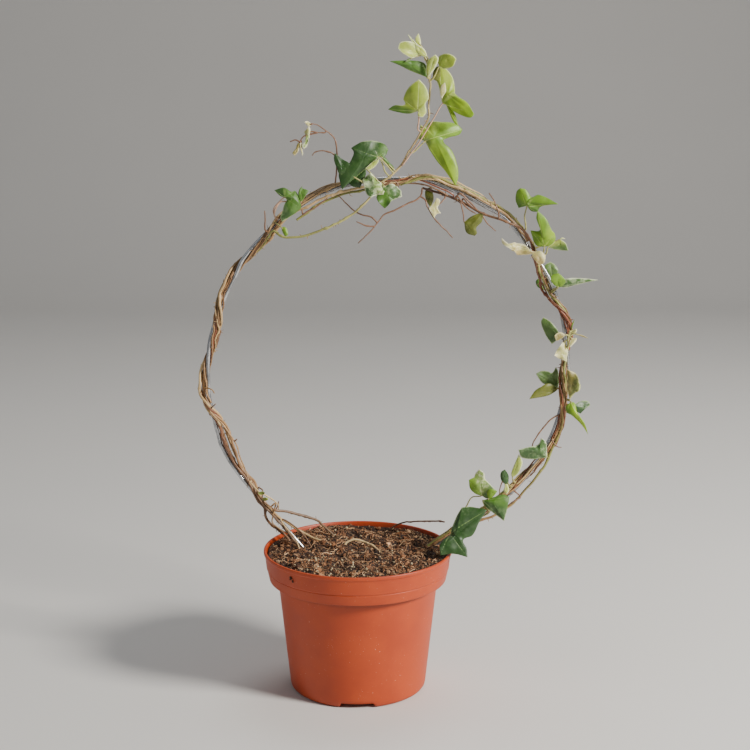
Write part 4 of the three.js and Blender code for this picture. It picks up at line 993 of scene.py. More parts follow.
                (-6, -1, 4.5, "deep"), (-2.5, -1, 1)],
                [(-50.5, 6, 301.5), (-51.5, 5, 305.5), (-50.5, 4, 308), (-48, 3, 311)],
                stalk_tone="pink", swell=0.2),
            leaf((-34.5, 3, 310.5), (0, 0.5, 6.5), [(1.5, 0, 2), (3, 0, 4.5), (5, 1, 7.5, "mid"),
                (2.5, 1, 8.5), (1, 1, 9), (1, 1, 10.5, "mid"), (-1, 0, 8), (-1.5, 0, 4.5)],
                [(-51, 5, 303.5), (-47, 3.5, 311), (-40, 3.5, 311)], stalk_tone="pink"),
            leaf((-46.5, 0, 296), (2.5, 0, -3), [(0.5, 0, -2.5), (2, 0, -5.5, "spring"), (4, 0, -5),
                (4, 0, -2.5), (2.5, 0, 0)], [(-50, 5, 298)]),
        ],
        twigs=[
            twig([(-57, 7, 293.5), (-57, 7, 299.5), (-57, 7, 305.5)]),
            twig([(-13.5, 14, 322.5), (-12.5, 12, 330), (-12.5, 11, 339.5), (-13, 10, 346.5),
                (-14, 10, 349.5), (-16, 9, 352), (-19.5, 8, 354.5), (-24, 8, 357.5),
                (-28, 7, 358.5)], [
                leaf((-27.5, 7, 358), (-3, 0, 0.5), [(-1, 0, 1), (-3, 0, 2), (-4.5, -1, 1.5, "cream"),
                    (-3.5, 0, 0), (-2, 0, -1.5)], crumple=0.8, stalk_tone="twig"),
            ], [
                twig([(-13, 10, 338.5), (-16, 9, 341), (-22, 8, 342), (-26, 7.5, 341), (-27.5, 7, 339)]),
                twig([(-19.5, 8, 353), (-24, 7, 353)], [
                    leaf((-28.5, 7, 353.5), (-1, -0.5, -4), [(0, 0, 2), (-1, 0, 3.5, "cream"),
                        (-2, 0, 2), (-4, 1, 0, "cream"), (-3, 0, -2.5), (-3.5, -1, -6), (-5, -1, -8),
                        (-4, -1, -10.5, "cream_green"), (-2, -1, -8.5), (-1, -1, -5.5), (-0.5, 0, -3)],
                        crumple=0.9, stalk_tone="twig"),
                ], [
                    twig([(-32.5, 6.5, 350.5), (-35, 7, 347.5)], [
                        leaf((-34.5, 7, 347.5), (-2.5, -0.5, -5), [(-2, 0, -1), (-3, 0, -4),
                            (-5, -1, -7), (-3.5, -1, -8.5, "withered"), (-1.5, -1, -6), (-0.5, 0, -3)],
                            crumple=0.8, stalk_tone="twig"),
                        leaf((-34, 7.5, 348), (0, -1, -5.5), [(-1, -1, -1.5), (-0.5, -1, -5.5),
                            (0.5, -1, -9, "cream"), (1, -1, -8), (0.5, -1, -4.5)],
                            crumple=0.5, stalk_tone="twig"),
                    ], [
                        twig([(-37.5, 7, 348.5), (-41, 7, 347.5)]),
                    ]),
                ]),
            ]),
        ],
        strands=[("low_crown", 130, 62, "straw", "tan"), ("high_crown", 198, 168, "red", "bark")],
    ),
    stem(
        name="stem_with_hanging_twigs",
        tones=("bark", "tan", "green", "red", "red", "bark", "dark"),
        route=[
            by_wire(-83, 3.2, -110), by_wire(-70, 3.2, -115), by_wire(-62, 3.8, -55),
            by_wire(-55, 4.5, 0), by_wire(-49, 5.5, 0), by_wire(-43, 5.2, 10), by_wire(-37, 5.2, 30),
            by_wire(-32, 5.3, 28), *wound("flank", -28, 42, [(27, 3, 5)]),
            by_wire(47, 5.2, 60), by_wire(52, 5, 110), by_wire(58, 4.6, 160),
            by_wire(66, 4.6, 180), by_wire(73, 5, 180), by_wire(79, 5.4, 180),
        ],
        leaves=[
            leaf((110.5, 2.5, 280), (-15, -2, 2.5), [(-4.5, 0, 1.5), (-8.5, -1, 5.5), (-13.5, -2, 6.5),
                (-18, -3, 6), (-22, -4, 9.5, "cream"), (-20.5, -4, 5.5), (-16, -4, 2),
                (-11.5, -3, -1, "straw"), (-4.5, -1, -1)], wave=0.08, crumple=1.3, stalk_tone="bark"),
            leaf((109, 2, 280.5), (3, -2, -3.5), [(-1.5, -1, -1.5), (0.5, -2, -5), (4, -2, -8, "straw"),
                (6.5, -2, -6), (7, -1, -2, "cream"), (3.5, 0, 0.5)], None, crumple=1.4),
            leaf((66, 6, 298.5), (4, 0, -2.5), [(1.5, 0, -6.5), (6.5, 0, -8.5, "olive"), (8, 0, -7),
                (7.5, 0, -3.5), (11, 0, 0.5), (11.5, -1, 6, "olive"), (5, 0, 4)],
                [(63.5, 8, 311.5), (65.5, 6.5, 303)], stalk_tone="twig", crumple=0.6),
            leaf((50.5, 6, 309.5), (-3, -1, -2), [(0.5, -1, 2.5), (-1.5, -1, 4, "cream"),
                (-3, -1, 1.5), (-6.5, -2, -2.5, "cream"), (-3, -2, -8.5, "cream"), (-1.5, -1, -6),
                (1, -1, -5.5, "cream"), (-1, -1, -2)],
                [(54, 8.5, 313)], crumple=0.9, stalk_tone="twig"),
            leaf((46, 17, 319.5), (-1.5, 0, -7.5), [(-3.5, 0, -2), (-3.5, 0, -7.5),
                (-0.5, 0, -13, "olive"), (1.5, 0, -7.5)], stalk_tone="twig"),
        ],
        twigs=[
            twig([(61.5, 9, 314.5), (65, 7, 310), (69.5, 5, 306), (73, 3, 304)]),
            twig([(65.5, 9, 312.5), (69.5, 8, 308.5), (74.5, 6, 305.5), (79.5, 4, 303)]),
            twig([(63, 9, 316), (69.5, 9, 310.5), (77.5, 7, 302), (80.5, 6, 297.5), (85.5, 5, 293)]),
            twig([(87, 4, 304.5), (84.5, 4.5, 311), (81, 5, 316.5)]),
            twig([by_wire(69, 3, 160), by_wire(75, 2.8, 130), by_wire(81, 2.6, 105),
                by_wire(88, 2.7, 110), by_wire(95, 2.6, 125)], tone="red"),
            twig([by_wire(71, 4.2, 165), by_wire(78, 3.6, 150), by_wire(84, 3.6, 140),
                by_wire(91, 3.5, 150), by_wire(98, 3.6, 170)], tone="bark"),
            twig([(38.5, 8, 314), (29.5, 6, 309), (23.5, 5, 306), (16.5, 5, 303), (14, 5, 299.5),
                (9, 5, 294), (0.5, 5, 285.5)], [], [
                twig([(10.5, 5, 296), (5.5, 4.5, 296.5), (-0.5, 4, 299)]),
                twig([(9, 5, 301.5), (2, 5.5, 303.5), (-3, 6, 306), (-7.5, 8, 310.5), (-12, 9.5, 315)]),
                twig([(42, 7, 312), (43, 6, 308.5), (46, 5, 303.5), (51, 4, 297), (55, 4, 293),
                    (59, 4, 289)]),
            ]),
        ],
        strands=[("high_crown", -26, 40, "red", "bark"), ("low_crown", 40, 66, "red", "tan")],
    ),
    stem(
        name="stem_leafy_high",
        tones=("old", "green", "bark", "green", "young", "green", "green"),
        route=[
            *wound("ridge", -83, 92),
            by_wire(97, 4.8, 180), by_wire(103, 4.8, 180), by_wire(109, 4.7, 180),
            by_wire(115, 4.8, 178), by_wire(118.5, 5, 182), by_wire(121.5, 5.6, 188),
        ],
        leaves=[
            leaf((104.5, 6, 308.5), (-0.5, -2, 3), [(2.5, -2, -3), (6.5, -2, -3.5, "mid"),
                (8, -2, -0.5), (13.5, -4, 1), (19, -5, 1.5, "spring"), (12.5, -4, 5), (6.5, -3, 7),
                (2.5, -2, 5.5), (1, -2, 7.5), (-1.5, -2, 10.5), (-4.5, -2, 11, "spring"), (-6.5, -1, 9),
                (-7, 0, 3.5), (-5, 1, -1.5, "mid"), (-2, 0, -0.5)],
                [(104.5, 11, 293.5), (103.5, 8, 302.5)]),
            leaf((115.5, 3, 283.5), (-0.5, -0.5, 5.5), [(3.5, 0, 1), (6.5, -1, 4.5),
                (6, -1, 8.5, "lime"), (4, -1, 11), (0.5, -2, 17.5), (-5, -3, 22.5, "spring"),
                (-5.5, -2, 17.5), (-3, 0, 10.5), (-8.5, 2, 10, "spring"), (-7.5, 2, 6), (-5, 1, 1)],
                [(114.5, 10, 274.5), (115, 7, 278)]),
            leaf((118, 6, 283), (7.5, 0, 1.5), [(4.5, 0, -1.5), (12.5, -2, -2, "grey"), (11, -1, 2.5),
                (7.5, 2, 5, "pale"), (3, 1, 2.5)], [(117, 8, 278.5)]),
            leaf((125, 7, 287.5), (2.5, 0, 1), [(2, 0, 0.5), (4, 0, 0.5, "pale"), (1.5, 0, 1.5)]),
            leaf((122.5, 20, 261.5), (-0.5, 0.5, 7), [(3, 0, 2.5), (4, 0, 5.5), (1.5, 1, 9),
                (-1, 2, 10.5, "grey"), (-4.5, 1, 8.5), (-5, 0, 5.5)], [(118, 16.5, 258.5)]),
            leaf((124.5, 4, 258), (-0.5, -1, 5), [(2.5, -1, 1), (4.5, -1, 4.5), (0, -2, 9.5, "spring"),
                (-4.5, -2, 7.5), (-4, -1, 3.5)]),
            leaf((124.5, 5, 258.5), (6.5, -0.5, 2.5), [(5, 0, -0.5), (13.5, -1, 2),
                (25, -2, 4.5, "grey_edged"), (13.5, -1, 5.5), (3, 0, 4.5)]),
            leaf((118, 20, 254.5), (-3.5, 0.5, 4), [(-1, 0, 3.5), (-4, 1, 7, "mid"), (-5.5, 1, 5),
                (-4, 0, 1.5)]),
            leaf((128.5, 19, 224), (-7.5, 1.5, 6), [(-1, 0, 4), (-6, 1, 10), (-10.5, 3, 12.5, "grey"),
                (-12, 3, 10), (-9.5, 2, 2.5), (-5, 1, -4.5, "deep_edged")]),
        ],
        strands=[("low_side", -60, 12, "bark", "red", "tan")],
    ),
    stem(
        name="stem_leafy_middle",
        tones=("bark", "red", "tan", "red", "bark"),
        route=wound("upper", -83, 38),
        leaves=[
            leaf((127.5, 16.5, 192), (-4.5, -0.5, 5.5), [(0.5, 0, 5), (0, 0, 10.5),
                (-1.5, 0, 13.5, "grey"), (-4, -1, 10), (-6.5, -1, 11), (-11.5, -1, 11),
                (-14.5, -2, 9.5, "grey"), (-9.5, -1, 3)]),
            leaf((127.5, 12, 192.5), (-10.5, -1.5, -1.5), [(-6.5, -1, 3.5), (-11.5, -2, 1.5),
                (-15.5, -3, -1), (-19, -4, -6, "olive"), (-8, -2, -4.5), (-2, 0, -2)]),
            leaf((119.5, 3, 149.5), (-5, -1, 4.5), [(0.5, 0, 5), (-0.5, 0, 10.5),
                (-3.5, 0, 13, "grey_edged"), (-5.5, 0, 8.5), (-11, -1, 7.5),
                (-18, -3, 6, "deep_edged"), (-15.5, -2, 0.5), (-8, -1, -0.5)], wave=0.05),
        ],
        strands=[("high_side", -72, -16, "tan", "red"), ("high_side", 8, 38, "red", "bark")],
    ),
    stem(
        name="stem_leafy_low",
        tones=("bark", "tan", "straw", "green", "young"),
        route=[
            *wound("lower", -83, -4),
            (130.5, 8, 207), (131.5, 6.5, 214), (132, 5.5, 221), (132, 4.5, 227),
            (133, 4, 231),
        ],
        leaves=[
            leaf((130, 3, 228.5), (-5.5, -1, -0.5), [(-4, -1, 2), (-7.5, -2, 0, "withered"),
                (-5.5, -1, -3.5)], crumple=0.7),
            leaf((133, 4, 227.5), (2.5, -0.5, 3), [(2.5, 0, 1), (4, -1, 3.5), (3.5, -1, 5, "cream"),
                (0.5, 0, 3)], crumple=0.7),
            leaf((133.5, 4, 230), (1, 0, 6), [(1, 0, 4.5), (2, -1, 8.5, "spring"), (0, 0, 4.5)]),
            leaf((136.5, 3, 229), (5, -1, -1.5), [(3.5, -1, -1.5), (7.5, -2, -2.5, "straw"),
                (4, -1, -0.5)]),
            leaf((133.5, 4, 226.5), (1, -1, -3), [(-1, -1, -3), (-1, -2, -6, "cream"), (3, -1, -2),
                (3.5, -1, 0, "cream")], crumple=0.7),
            leaf((130, 5, 224.5), (-2, -1.5, -8), [(-2.5, -1, -2), (-7.5, -3, -9, "cream"),
                (-3.5, -3, -11), (1, -2, -13, "cream"), (1.5, 0, -6)], crumple=0.9, wave=0.08),
            leaf((134, 6, 186.5), (1.5, -1, 9.5), [(3, -1, 4.5), (6, -2, 7),
                (6, -3, 10.5, "olive_edged"), (4.5, -2, 15.5), (-2.5, 0, 20, "withered"), (-2, 0, 12.5),
                (-1.5, 0, 5)], crumple=1.7, wave=0.11),
            leaf((134.5, 5, 185.5), (2.5, -2, -6), [(-3, 0, -3.5), (-2.5, -1, -7, "spring"),
                (0.5, -2, -8.5), (6.5, -3, -14), (11, -4, -20.5, "lime"), (8.5, -4, -13),
                (4, -2, -6.5), (2.5, 0, -1)]),
            leaf((136, 6, 182.5), (7, 2.5, -1.5), [(2, 1, -3.5), (5.5, 2, -5.5, "deep"),
                (7.5, 2, -3), (11.5, 4, -0.5, "deep_edged"), (10.5, 4, 2), (5.5, 3, 2.5)]),
            leaf((98.5, 4, 136), (2.5, -1, 8.5), [(3.5, -1, 3), (6, -2, 11), (3.5, -2, 16, "pale"),
                (1, -1, 9.5), (-1, 0, 2.5)]),
            leaf((96, 4, 132), (-3, -0.5, 5.5), [(0, 0, 5.5), (-2.5, -1, 10, "deep"), (-5, -1, 8),
                (-5, 0, 3.5), (-3, 0, 0.5)]),
            leaf((93.5, 4, 133.5), (1, 0, -5), [(0, 0, -3.5), (-0.5, 0, -6), (1.5, -1, -8, "pale"),
                (3, 0, -5.5), (2, 0, -2)]),
            leaf((79, 3, 124.5), (-0.5, -1.5, 6.5), [(4.5, 0, -2), (9.5, -2, 3.5, "deep_edged"),
                (5, -2, 8.5), (2, -2, 11.5), (1, -3, 16), (-2, -3, 18.5, "cream_green"),
                (-4.5, -2, 15), (-5, -2, 13), (-8.5, -2, 11, "spring"), (-7.5, -1, 5), (-4, 0, 1.5)],
                [(65.5, 7, 110), (69.5, 6, 116.5), (73, 5, 123)]),
            leaf((83, -1, 123.5), (2.5, -0.5, 5), [(3, 0, 1.5), (5.5, -1, 5.5, "spring"),
                (3.5, -1, 6.5), (1, -1, 7), (-1, 0, 4.5)], [(82, 4, 118)]),
            leaf((79.5, 0, 122.5), (6, -1, -1), [(1.5, -1, -4), (5.5, -2, -7),
                (13.5, -5, -12.5, "deep_edged"), (15, -3, -6.5), (17, 0, 2, "mid"), (13, 1, 3.5),
                (6.5, 1, 1.5)], [(81, 4, 118)]),
            leaf((58.5, -8, 101.5), (3.5, -3.5, 0.5), [(-4, -3, -1.5), (-7, -9, -4.5),
                (-6.5, -12, -9, "deep"), (1, -11, -8.5), (10.5, -12, -10.5, "deep"), (10, -9, -5.5),
                (8, -6, -1), (14, -4, 1.5), (18.5, -1, 9.5), (23.5, 3, 16, "deep"), (14, 4, 18),
                (7.5, 4, 17.5, "deep_edged"), (4, 3, 11.5), (1, 0, 4.5)],
                [(84, 5, 113), (76, 2, 109.5), (66, -4, 105)], swell=0.14),
        ],
        twigs=[
            twig([(92.5, 4, 134), (91, 4, 130), (90.5, 4, 127.5), (90.5, 4, 125)]),
            twig([(104.5, 8, 122), (100.5, 6, 120.5), (97.5, 6, 118.5), (96, 6, 117)]),
            twig([(83.5, 6, 113), (78.5, 5, 109.5)], tone="straw"),
            twig([(126.5, 9, 175.5), (119, 8, 169.5), (112.5, 7, 160), (111, 7, 155.5),
                (110, 8, 151)]),
            twig([(123.5, 7, 160), (127, 6, 156), (129.5, 6, 155.5)]),
            twig([by_wire(-51, 3.5, 150), by_wire(-44, 2.1, 110), by_wire(-38, 2, 95),
                by_wire(-33, 2.2, 70), by_wire(-28, 3, 20)], tone="tan"),
            twig([by_wire(-47, 2.8, 160), by_wire(-41, 2.1, 130), by_wire(-35, 2.2, 115),
                by_wire(-29, 2.5, 80), by_wire(-24, 3, 60)], tone="straw"),
        ],
        strands=[("low_crown", -78, 36, "green", "tan", "bark")],
    ),
]

# Dead stems that stand in the soil alone: name, radius, tones and route.
DEAD_STEMS = [
    ("dead_stem_arch", 0.66, ("straw", "straw", "tan"), [
        (-8, 9, 79), (-8.5, 8.5, 87), (-8, 9, 90.5), (-4, 10.5, 92.5), (2.5, 11, 92), (9, 6, 91),
        (13, 1, 89.5), (16.5, -5, 87), (18, -8, 83),
    ]),
    ("dead_stem_at_back", 0.5, ("dark", "bark", "twig"), [
        (19, 50, 79), (21, 48, 88), (27.5, 46, 93), (36, 38, 96.5), (50.5, 28, 100.5),
        (56.5, 23.5, 101),
    ]),
]

# ---- pot ----

BASE_RADIUS = 43.4
BODY_TOP_RADIUS = 51.0
COLLAR_LOW_RADIUS = 56.6
COLLAR_BOTTOM = 71.8
COLLAR_LINE = 79.0
LINE_RADIUS = 57.8
LIP_BOTTOM_RADIUS = 59.3
WALL = 1.6
FLOOR = 2.0
INNER_CORNER = 1.3
LIP_DEPTH = 2.0
NOTCHES, NOTCH_WIDTH, NOTCH_HEIGHT, NOTCH_INNER_RADIUS = 3, 22.0, 3.2, 37.0
POT_SIDES = 240


def rounded(corners, longest_step):
    """An outline with its corners rounded by a parabola that starts and ends one
    radius from the corner, or a third of the way along a short side, and its
    straight runs cut into steps. A corner is (across, up, radius), and may have
    its own longest step after that."""
    line = [np.array(corners[0][:2], float)]
    for i in range(1, len(corners)):
        here = np.array(corners[i][:2], float)
        most = corners[i][3] if len(corners[i]) > 3 else longest_step
        if i < len(corners) - 1:
            size = corners[i][2]
            before, after = np.array(corners[i - 1][:2]), np.array(corners[i + 1][:2])
            run_in, run_out = before - here, after - here
            a = here + unit(run_in) * min(size, np.linalg.norm(run_in) / 3)
            b = here + unit(run_out) * min(size, np.linalg.norm(run_out) / 3)
        else:
            a = b = here
        run = np.linalg.norm(a - line[-1])
        steps = max(1, int(np.ceil(run / most)))
        line += [line[-1] + (a - line[-1]) * k / steps for k in range(1, steps + 1)]
        if i < len(corners) - 1:
            line += [(1 - t) ** 2 * a + 2 * t * (1 - t) * here + t ** 2 * b
                     for t in (0.25, 0.5, 0.75, 1)]
    return np.array(line)


def inner_side(gap):
    """The pot's inside from the middle of its floor up to the lip, made smaller
    all round by a gap."""
    inside = WALL + gap
    return [(0, FLOOR + gap), (BASE_RADIUS - inside - INNER_CORNER, FLOOR + gap),
            (BASE_RADIUS - inside, FLOOR + INNER_CORNER + gap),
            (BODY_TOP_RADIUS - inside, COLLAR_BOTTOM),
            (COLLAR_LOW_RADIUS - inside - INNER_CORNER, COLLAR_BOTTOM + WALL),
            (COLLAR_LOW_RADIUS - inside, COLLAR_BOTTOM + WALL + INNER_CORNER),
            (POT_RADIUS - inside, POT_HEIGHT)]


def make_pot(finish):
    """The pot's half section turned round its axis: a tapered body, a collar with
    a fine line round it and a rolled lip. Its foot is lifted in three places."""
    # Corners of the outside: radius, height, rounding and, on the body, ring gap.
    outer = [
        (0, 0, 0), (BASE_RADIUS, 0, 3.0, 1.0), (BODY_TOP_RADIUS, COLLAR_BOTTOM - 0.7, 0.7, 2.5),
        (COLLAR_LOW_RADIUS - 1.2, COLLAR_BOTTOM - 0.1, 0.3),
        (COLLAR_LOW_RADIUS - 0.1, COLLAR_BOTTOM + 0.3, 0.5),
        (LINE_RADIUS, COLLAR_LINE - 0.6, 0.3), (LINE_RADIUS - 0.2, COLLAR_LINE - 0.2, 0.2),
        (LINE_RADIUS + 0.5, COLLAR_LINE + 0.5, 0.4),
        (LIP_BOTTOM_RADIUS, POT_HEIGHT - LIP_DEPTH - 0.6, 0.4),
        (POT_RADIUS, POT_HEIGHT - LIP_DEPTH, 0.5), (POT_RADIUS, POT_HEIGHT, 0.7),
    ]
    inner = [(r, z, 0.5) for r, z in inner_side(0)[::-1]]
    inner[0] = (POT_RADIUS - WALL, POT_HEIGHT, 0.6)
    profile = rounded([*outer, *inner], 2.5)

    def shape(points):
        """Foot lifted at the notches, and the thin wall a little out of round."""
        points = points.copy()
        for i in range(NOTCHES):
            turn = np.radians(-90 + 360 / NOTCHES * i)
            forward = points[:, 0] * np.cos(turn) + points[:, 1] * np.sin(turn)
            sideways = np.abs(points[:, 1] * np.cos(turn) - points[:, 0] * np.sin(turn))
            inside = smoothstep(-sideways, -NOTCH_WIDTH / 2, -NOTCH_WIDTH / 2 + 0.8) \
                * smoothstep(forward, NOTCH_INNER_RADIUS - 0.6, NOTCH_INNER_RADIUS)
            lifted = np.maximum(points[:, 2], NOTCH_HEIGHT + 0.04 * points[:, 2])
            points[:, 2] += (lifted - points[:, 2]) * inside
        around = np.arctan2(points[:, 1], points[:, 0])
        part = points[:, 2:3] / POT_HEIGHT
        points[:, :2] *= 1 + 0.0012 * part * np.sin(2 * around + 0.7)[:, None]
        return points

    points, faces = turned(profile, POT_SIDES, shape)
    radius = np.hypot(points[:, 0], points[:, 1])
    z = points[:, 2]
    lip = np.exp(-((z - POT_HEIGHT) / 1.2) ** 2) + np.exp(-((z - COLLAR_LINE) / 0.8) ** 2)
    foot = np.exp(-(z / 4.0) ** 2)
    collar = smoothstep(z, COLLAR_BOTTOM - 0.4, COLLAR_BOTTOM + 1.2)
    wear = np.clip(0.25 + 0.5 * lip + 0.5 * foot + 0.25 * collar, 0, 1)
    # Painted shade, darker than the plastic: a painted shadow of the collar on the body under it, painted
    # shade round the foot and in its notches, and down the inside of the rim towards the soil.
    collar_shadow = np.exp(-((z - COLLAR_BOTTOM + 0.9) / 1.1) ** 2)
    grime = 0.18 * np.exp(-(z / 2.2) ** 2) + 0.5 * collar_shadow
    inside = (z > 75) & (radius < COLLAR_LOW_RADIUS - 0.8 + (z - COLLAR_BOTTOM) * 0.16)
    grime += np.where(inside, smoothstep(-z, 0.5 - POT_HEIGHT, 4.5 - POT_HEIGHT) * 0.6, 0)
    growth = Growth()
    growth.add(points, faces, wear=wear, grime=np.clip(grime, 0, 1))
    growth.piece("pot_shell", finish, "terracotta_plastic", "pot")


# ---- soil ----

SOIL_RADIUS = 57.5
SOIL_SIDES, SOIL_RINGS = 220, 64
SOIL_GAP = 0.3
SOIL_SEED = 11


def soil_height(x, y):
    """The soil's uneven top: slow waves, a dip at the back and two heaps."""
    waves = 0.5 * np.sin(0.143 * x + 0.167 * y + 1.3) + 0.4 * np.sin(0.323 * x - 0.233 * y)
    dip = 2.6 * np.exp(-((x - 16) / 14) ** 2 - ((y - 54) / 16) ** 2)
    heap_at_back = np.exp(-((x + 30) / 22) ** 2 - ((y - 34) / 20) ** 2)
    heap_in_front = 0.8 * np.exp(-((x + 34) / 20) ** 2 - ((y + 30) / 16) ** 2)
    return SOIL_TOP + waves - dip + heap_at_back + heap_in_front


def soil_surface(points):
    """soil_height with broken ground on it: clods, lumps and grains from three sizes
    of noise, flatter at the wall."""
    x, y = points[:, 0], points[:, 1]
    flat = np.column_stack([x, y, x * 0])
    broken = 1.4 * noise(flat, 6.5, 5) + 0.9 * noise(flat, 2.8, 6) + 0.35 * noise(flat, 1.1, 7)
    near = 1 - 0.7 * smoothstep(np.hypot(x, y), SOIL_RADIUS - 3.5, SOIL_RADIUS)
    return SOIL_TOP + near * (soil_height(x, y) + broken - SOIL_TOP)


SOIL_TONES = np.array([srgb(tone) for tone in (
    "#845a3a", "#a07552", "#664228", "#472e1e", "#b68f6a", "#2c1c13", "#744d33", "#caab87")])
FIBRE_TONES = (1, 4, 7, 0, 3)
DIRT_TONE = 3
BED_TONE = srgb("#35241a")
GRIT_TONE = srgb("#c9bb98")

# Crumbs: how many, their least and greatest half size, and how often each tone.
CRUMBS = [
    (3600, 0.3, 0.75, (3, 2, 3, 3, 1.4, 2, 3, 0.4)),
    (190, 0.8, 1.7, (3, 2, 3, 3, 1, 2, 3, 0.2)),
    (4600, 0.16, 0.36, (2, 3, 2, 2, 3, 1, 2, 1.4)),
]

# Dirt stuck to the front left of the collar, five lumps: angle, height, half size.
COLLAR_DIRT = np.array([(-133.2, 85.6, 0.9), (-133.0, 84.9, 0.8), (-132.6, 85.3, 0.8),
                        (-131.6, 83.9, 0.6), (-131.3, 83.1, 0.5)])
DIRT_RADIUS = 59.3

GRIT_COUNT = 900
FIBRE_COUNT = 1150

# Rough stones and lumps: the twenty faces of an icosahedron.
GOLD = (1 + 5 ** 0.5) / 2
LUMP_POINTS = unit(np.array([
    (-1, GOLD, 0), (1, GOLD, 0), (-1, -GOLD, 0), (1, -GOLD, 0), (0, -1, GOLD), (0, 1, GOLD),
    (0, -1, -GOLD), (0, 1, -GOLD), (GOLD, 0, -1), (GOLD, 0, 1), (-GOLD, 0, -1), (-GOLD, 0, 1)]))
LUMP_FACES = np.array([
    (0, 11, 5), (0, 5, 1), (0, 1, 7), (0, 7, 10), (0, 10, 11), (1, 5, 9), (5, 11, 4),
    (11, 10, 2), (10, 7, 6), (7, 1, 8), (3, 9, 4), (3, 4, 2), (3, 2, 6), (3, 6, 8),
    (3, 8, 9), (4, 9, 5), (2, 4, 11), (6, 2, 10), (8, 6, 7), (9, 8, 1)])


def scattered(count, rng, radius=SOIL_RADIUS - 0.6):
    """Places spread evenly over the round top of the soil."""
    turn = rng.uniform(0, 2 * np.pi, count)
    far = radius * np.sqrt(rng.uniform(0, 1, count))
    flat = np.column_stack([far * np.cos(turn), far * np.sin(turn), np.zeros(count)])
    flat[:, 2] = soil_surface(flat)
    return flat


def lightness_by_height(places):
    """How light the soil's bits are: dark in the hollows and light on the heaps,
    in uneven patches."""
    height = places[:, 2] - soil_height(places[:, 0], places[:, 1])
    patch = noise(places, 9.0, 21) + 0.6 * noise(places, 3.5, 22)
    return 0.45 + 1.0 * smoothstep(height + 0.9 * patch, -1.6, 2.2)[:, None]


def random_turns(count, rng):
    """Turning matrices, evenly spread: two random directions made square."""
    a = unit(rng.normal(size=(count, 3)))
    b = rng.normal(size=(count, 3))
    b = unit(b - (a * b).sum(axis=1, keepdims=True) * a)
    return np.stack([a, b, np.cross(a, b)], axis=1)


def lumps(growth, places, sizes, tones, rng, flat=0.8):
    """Rough lumps: each is an icosahedron with every corner pushed in or out at
    random, stretched by its three sizes and turned at random."""
    count = len(places)
    shapes = LUMP_POINTS * rng.uniform(0.72, 1.2, (count, 12, 1))
    shapes = shapes * (sizes[:, None] * rng.uniform(flat, 1.25, (count, 3)))[:, None]
    shapes = shapes @ random_turns(count, rng)
    points = (shapes + places[:, None]).reshape(-1, 3)
    faces = (LUMP_FACES[None] + 12 * np.arange(count)[:, None, None]).reshape(-1, 3)
    rows = np.column_stack([tones, np.ones(count)])
    growth.add(points, [faces], tone=np.repeat(rows, 12, axis=0))


def soil_bed(finish):
    """The soil's body inside the pot, with broken ground on top."""
    side = inner_side(SOIL_GAP)
    profile = [*side[:-1], (SOIL_RADIUS, SOIL_TOP)]
    rings = [(part * SOIL_RADIUS, SOIL_TOP) for part in np.linspace(0.99, 0, SOIL_RINGS)]

    def shape(points):
        """The points of the flat top lifted or lowered to the broken ground."""
        points = points.copy()
        top = points[:, 2] > SOIL_TOP - 0.01
        points[top, 2] = soil_surface(points[top])
        return points

    points, faces = turned(np.vstack([profile, rings]), SOIL_SIDES, shape)
    growth = Growth()
    growth.add(points, faces, tone=np.tile([*BED_TONE, 1], (len(points), 1)))
    growth.piece("soil_bed", finish, "potting_soil", "soil")


def soil_crumbs(finish, rng):
    """Loose crumbs of peat in three sizes, and the dirt on the collar."""
    growth = Growth()
    for count, low, high, weights in CRUMBS:
        places = scattered(count, rng)
        sizes = rng.uniform(low, high, count)
        places[:, 2] += sizes * 0.25
        weights = np.array(weights) / np.sum(weights)
        tones = SOIL_TONES[rng.choice(len(SOIL_TONES), count, p=weights)]
        tones = tones * rng.uniform(0.75, 1.3, (count, 1)) * lightness_by_height(places)
        lumps(growth, places, sizes, tones, rng)
    angles, heights, sizes = COLLAR_DIRT.T
    turn = np.radians(rng.normal(angles, 0.2))
    places = np.column_stack([DIRT_RADIUS * np.cos(turn), DIRT_RADIUS * np.sin(turn), heights])
    lumps(growth, places, sizes, np.tile(SOIL_TONES[DIRT_TONE], (len(sizes), 1)), rng)
    growth.piece("soil_crumbs", finish, "potting_soil", "soil", smooth=False)


def soil_grit(finish, rng):
    """Pale grit, crowded at the front left."""
    growth = Growth()
    places = scattered(GRIT_COUNT, rng)
    crowd = np.exp(-((places[:, 0] + 16) / 26) ** 2 - ((places[:, 1] + 38) / 20) ** 2)
    places = places[rng.uniform(0, 1, GRIT_COUNT) < 0.1 + 0.6 * crowd]
    count = len(places)
    sizes = rng.uniform(0.3, 0.95, count)
    places[:, 2] += 0.5 * sizes + 0.2
    tones = np.tile(GRIT_TONE, (count, 1)) * rng.uniform(0.6, 1.15, (count, 1))
    lumps(growth, places, sizes, tones, rng, 0.6)
    growth.piece("soil_grit", finish, "potting_soil", "soil", smooth=False)


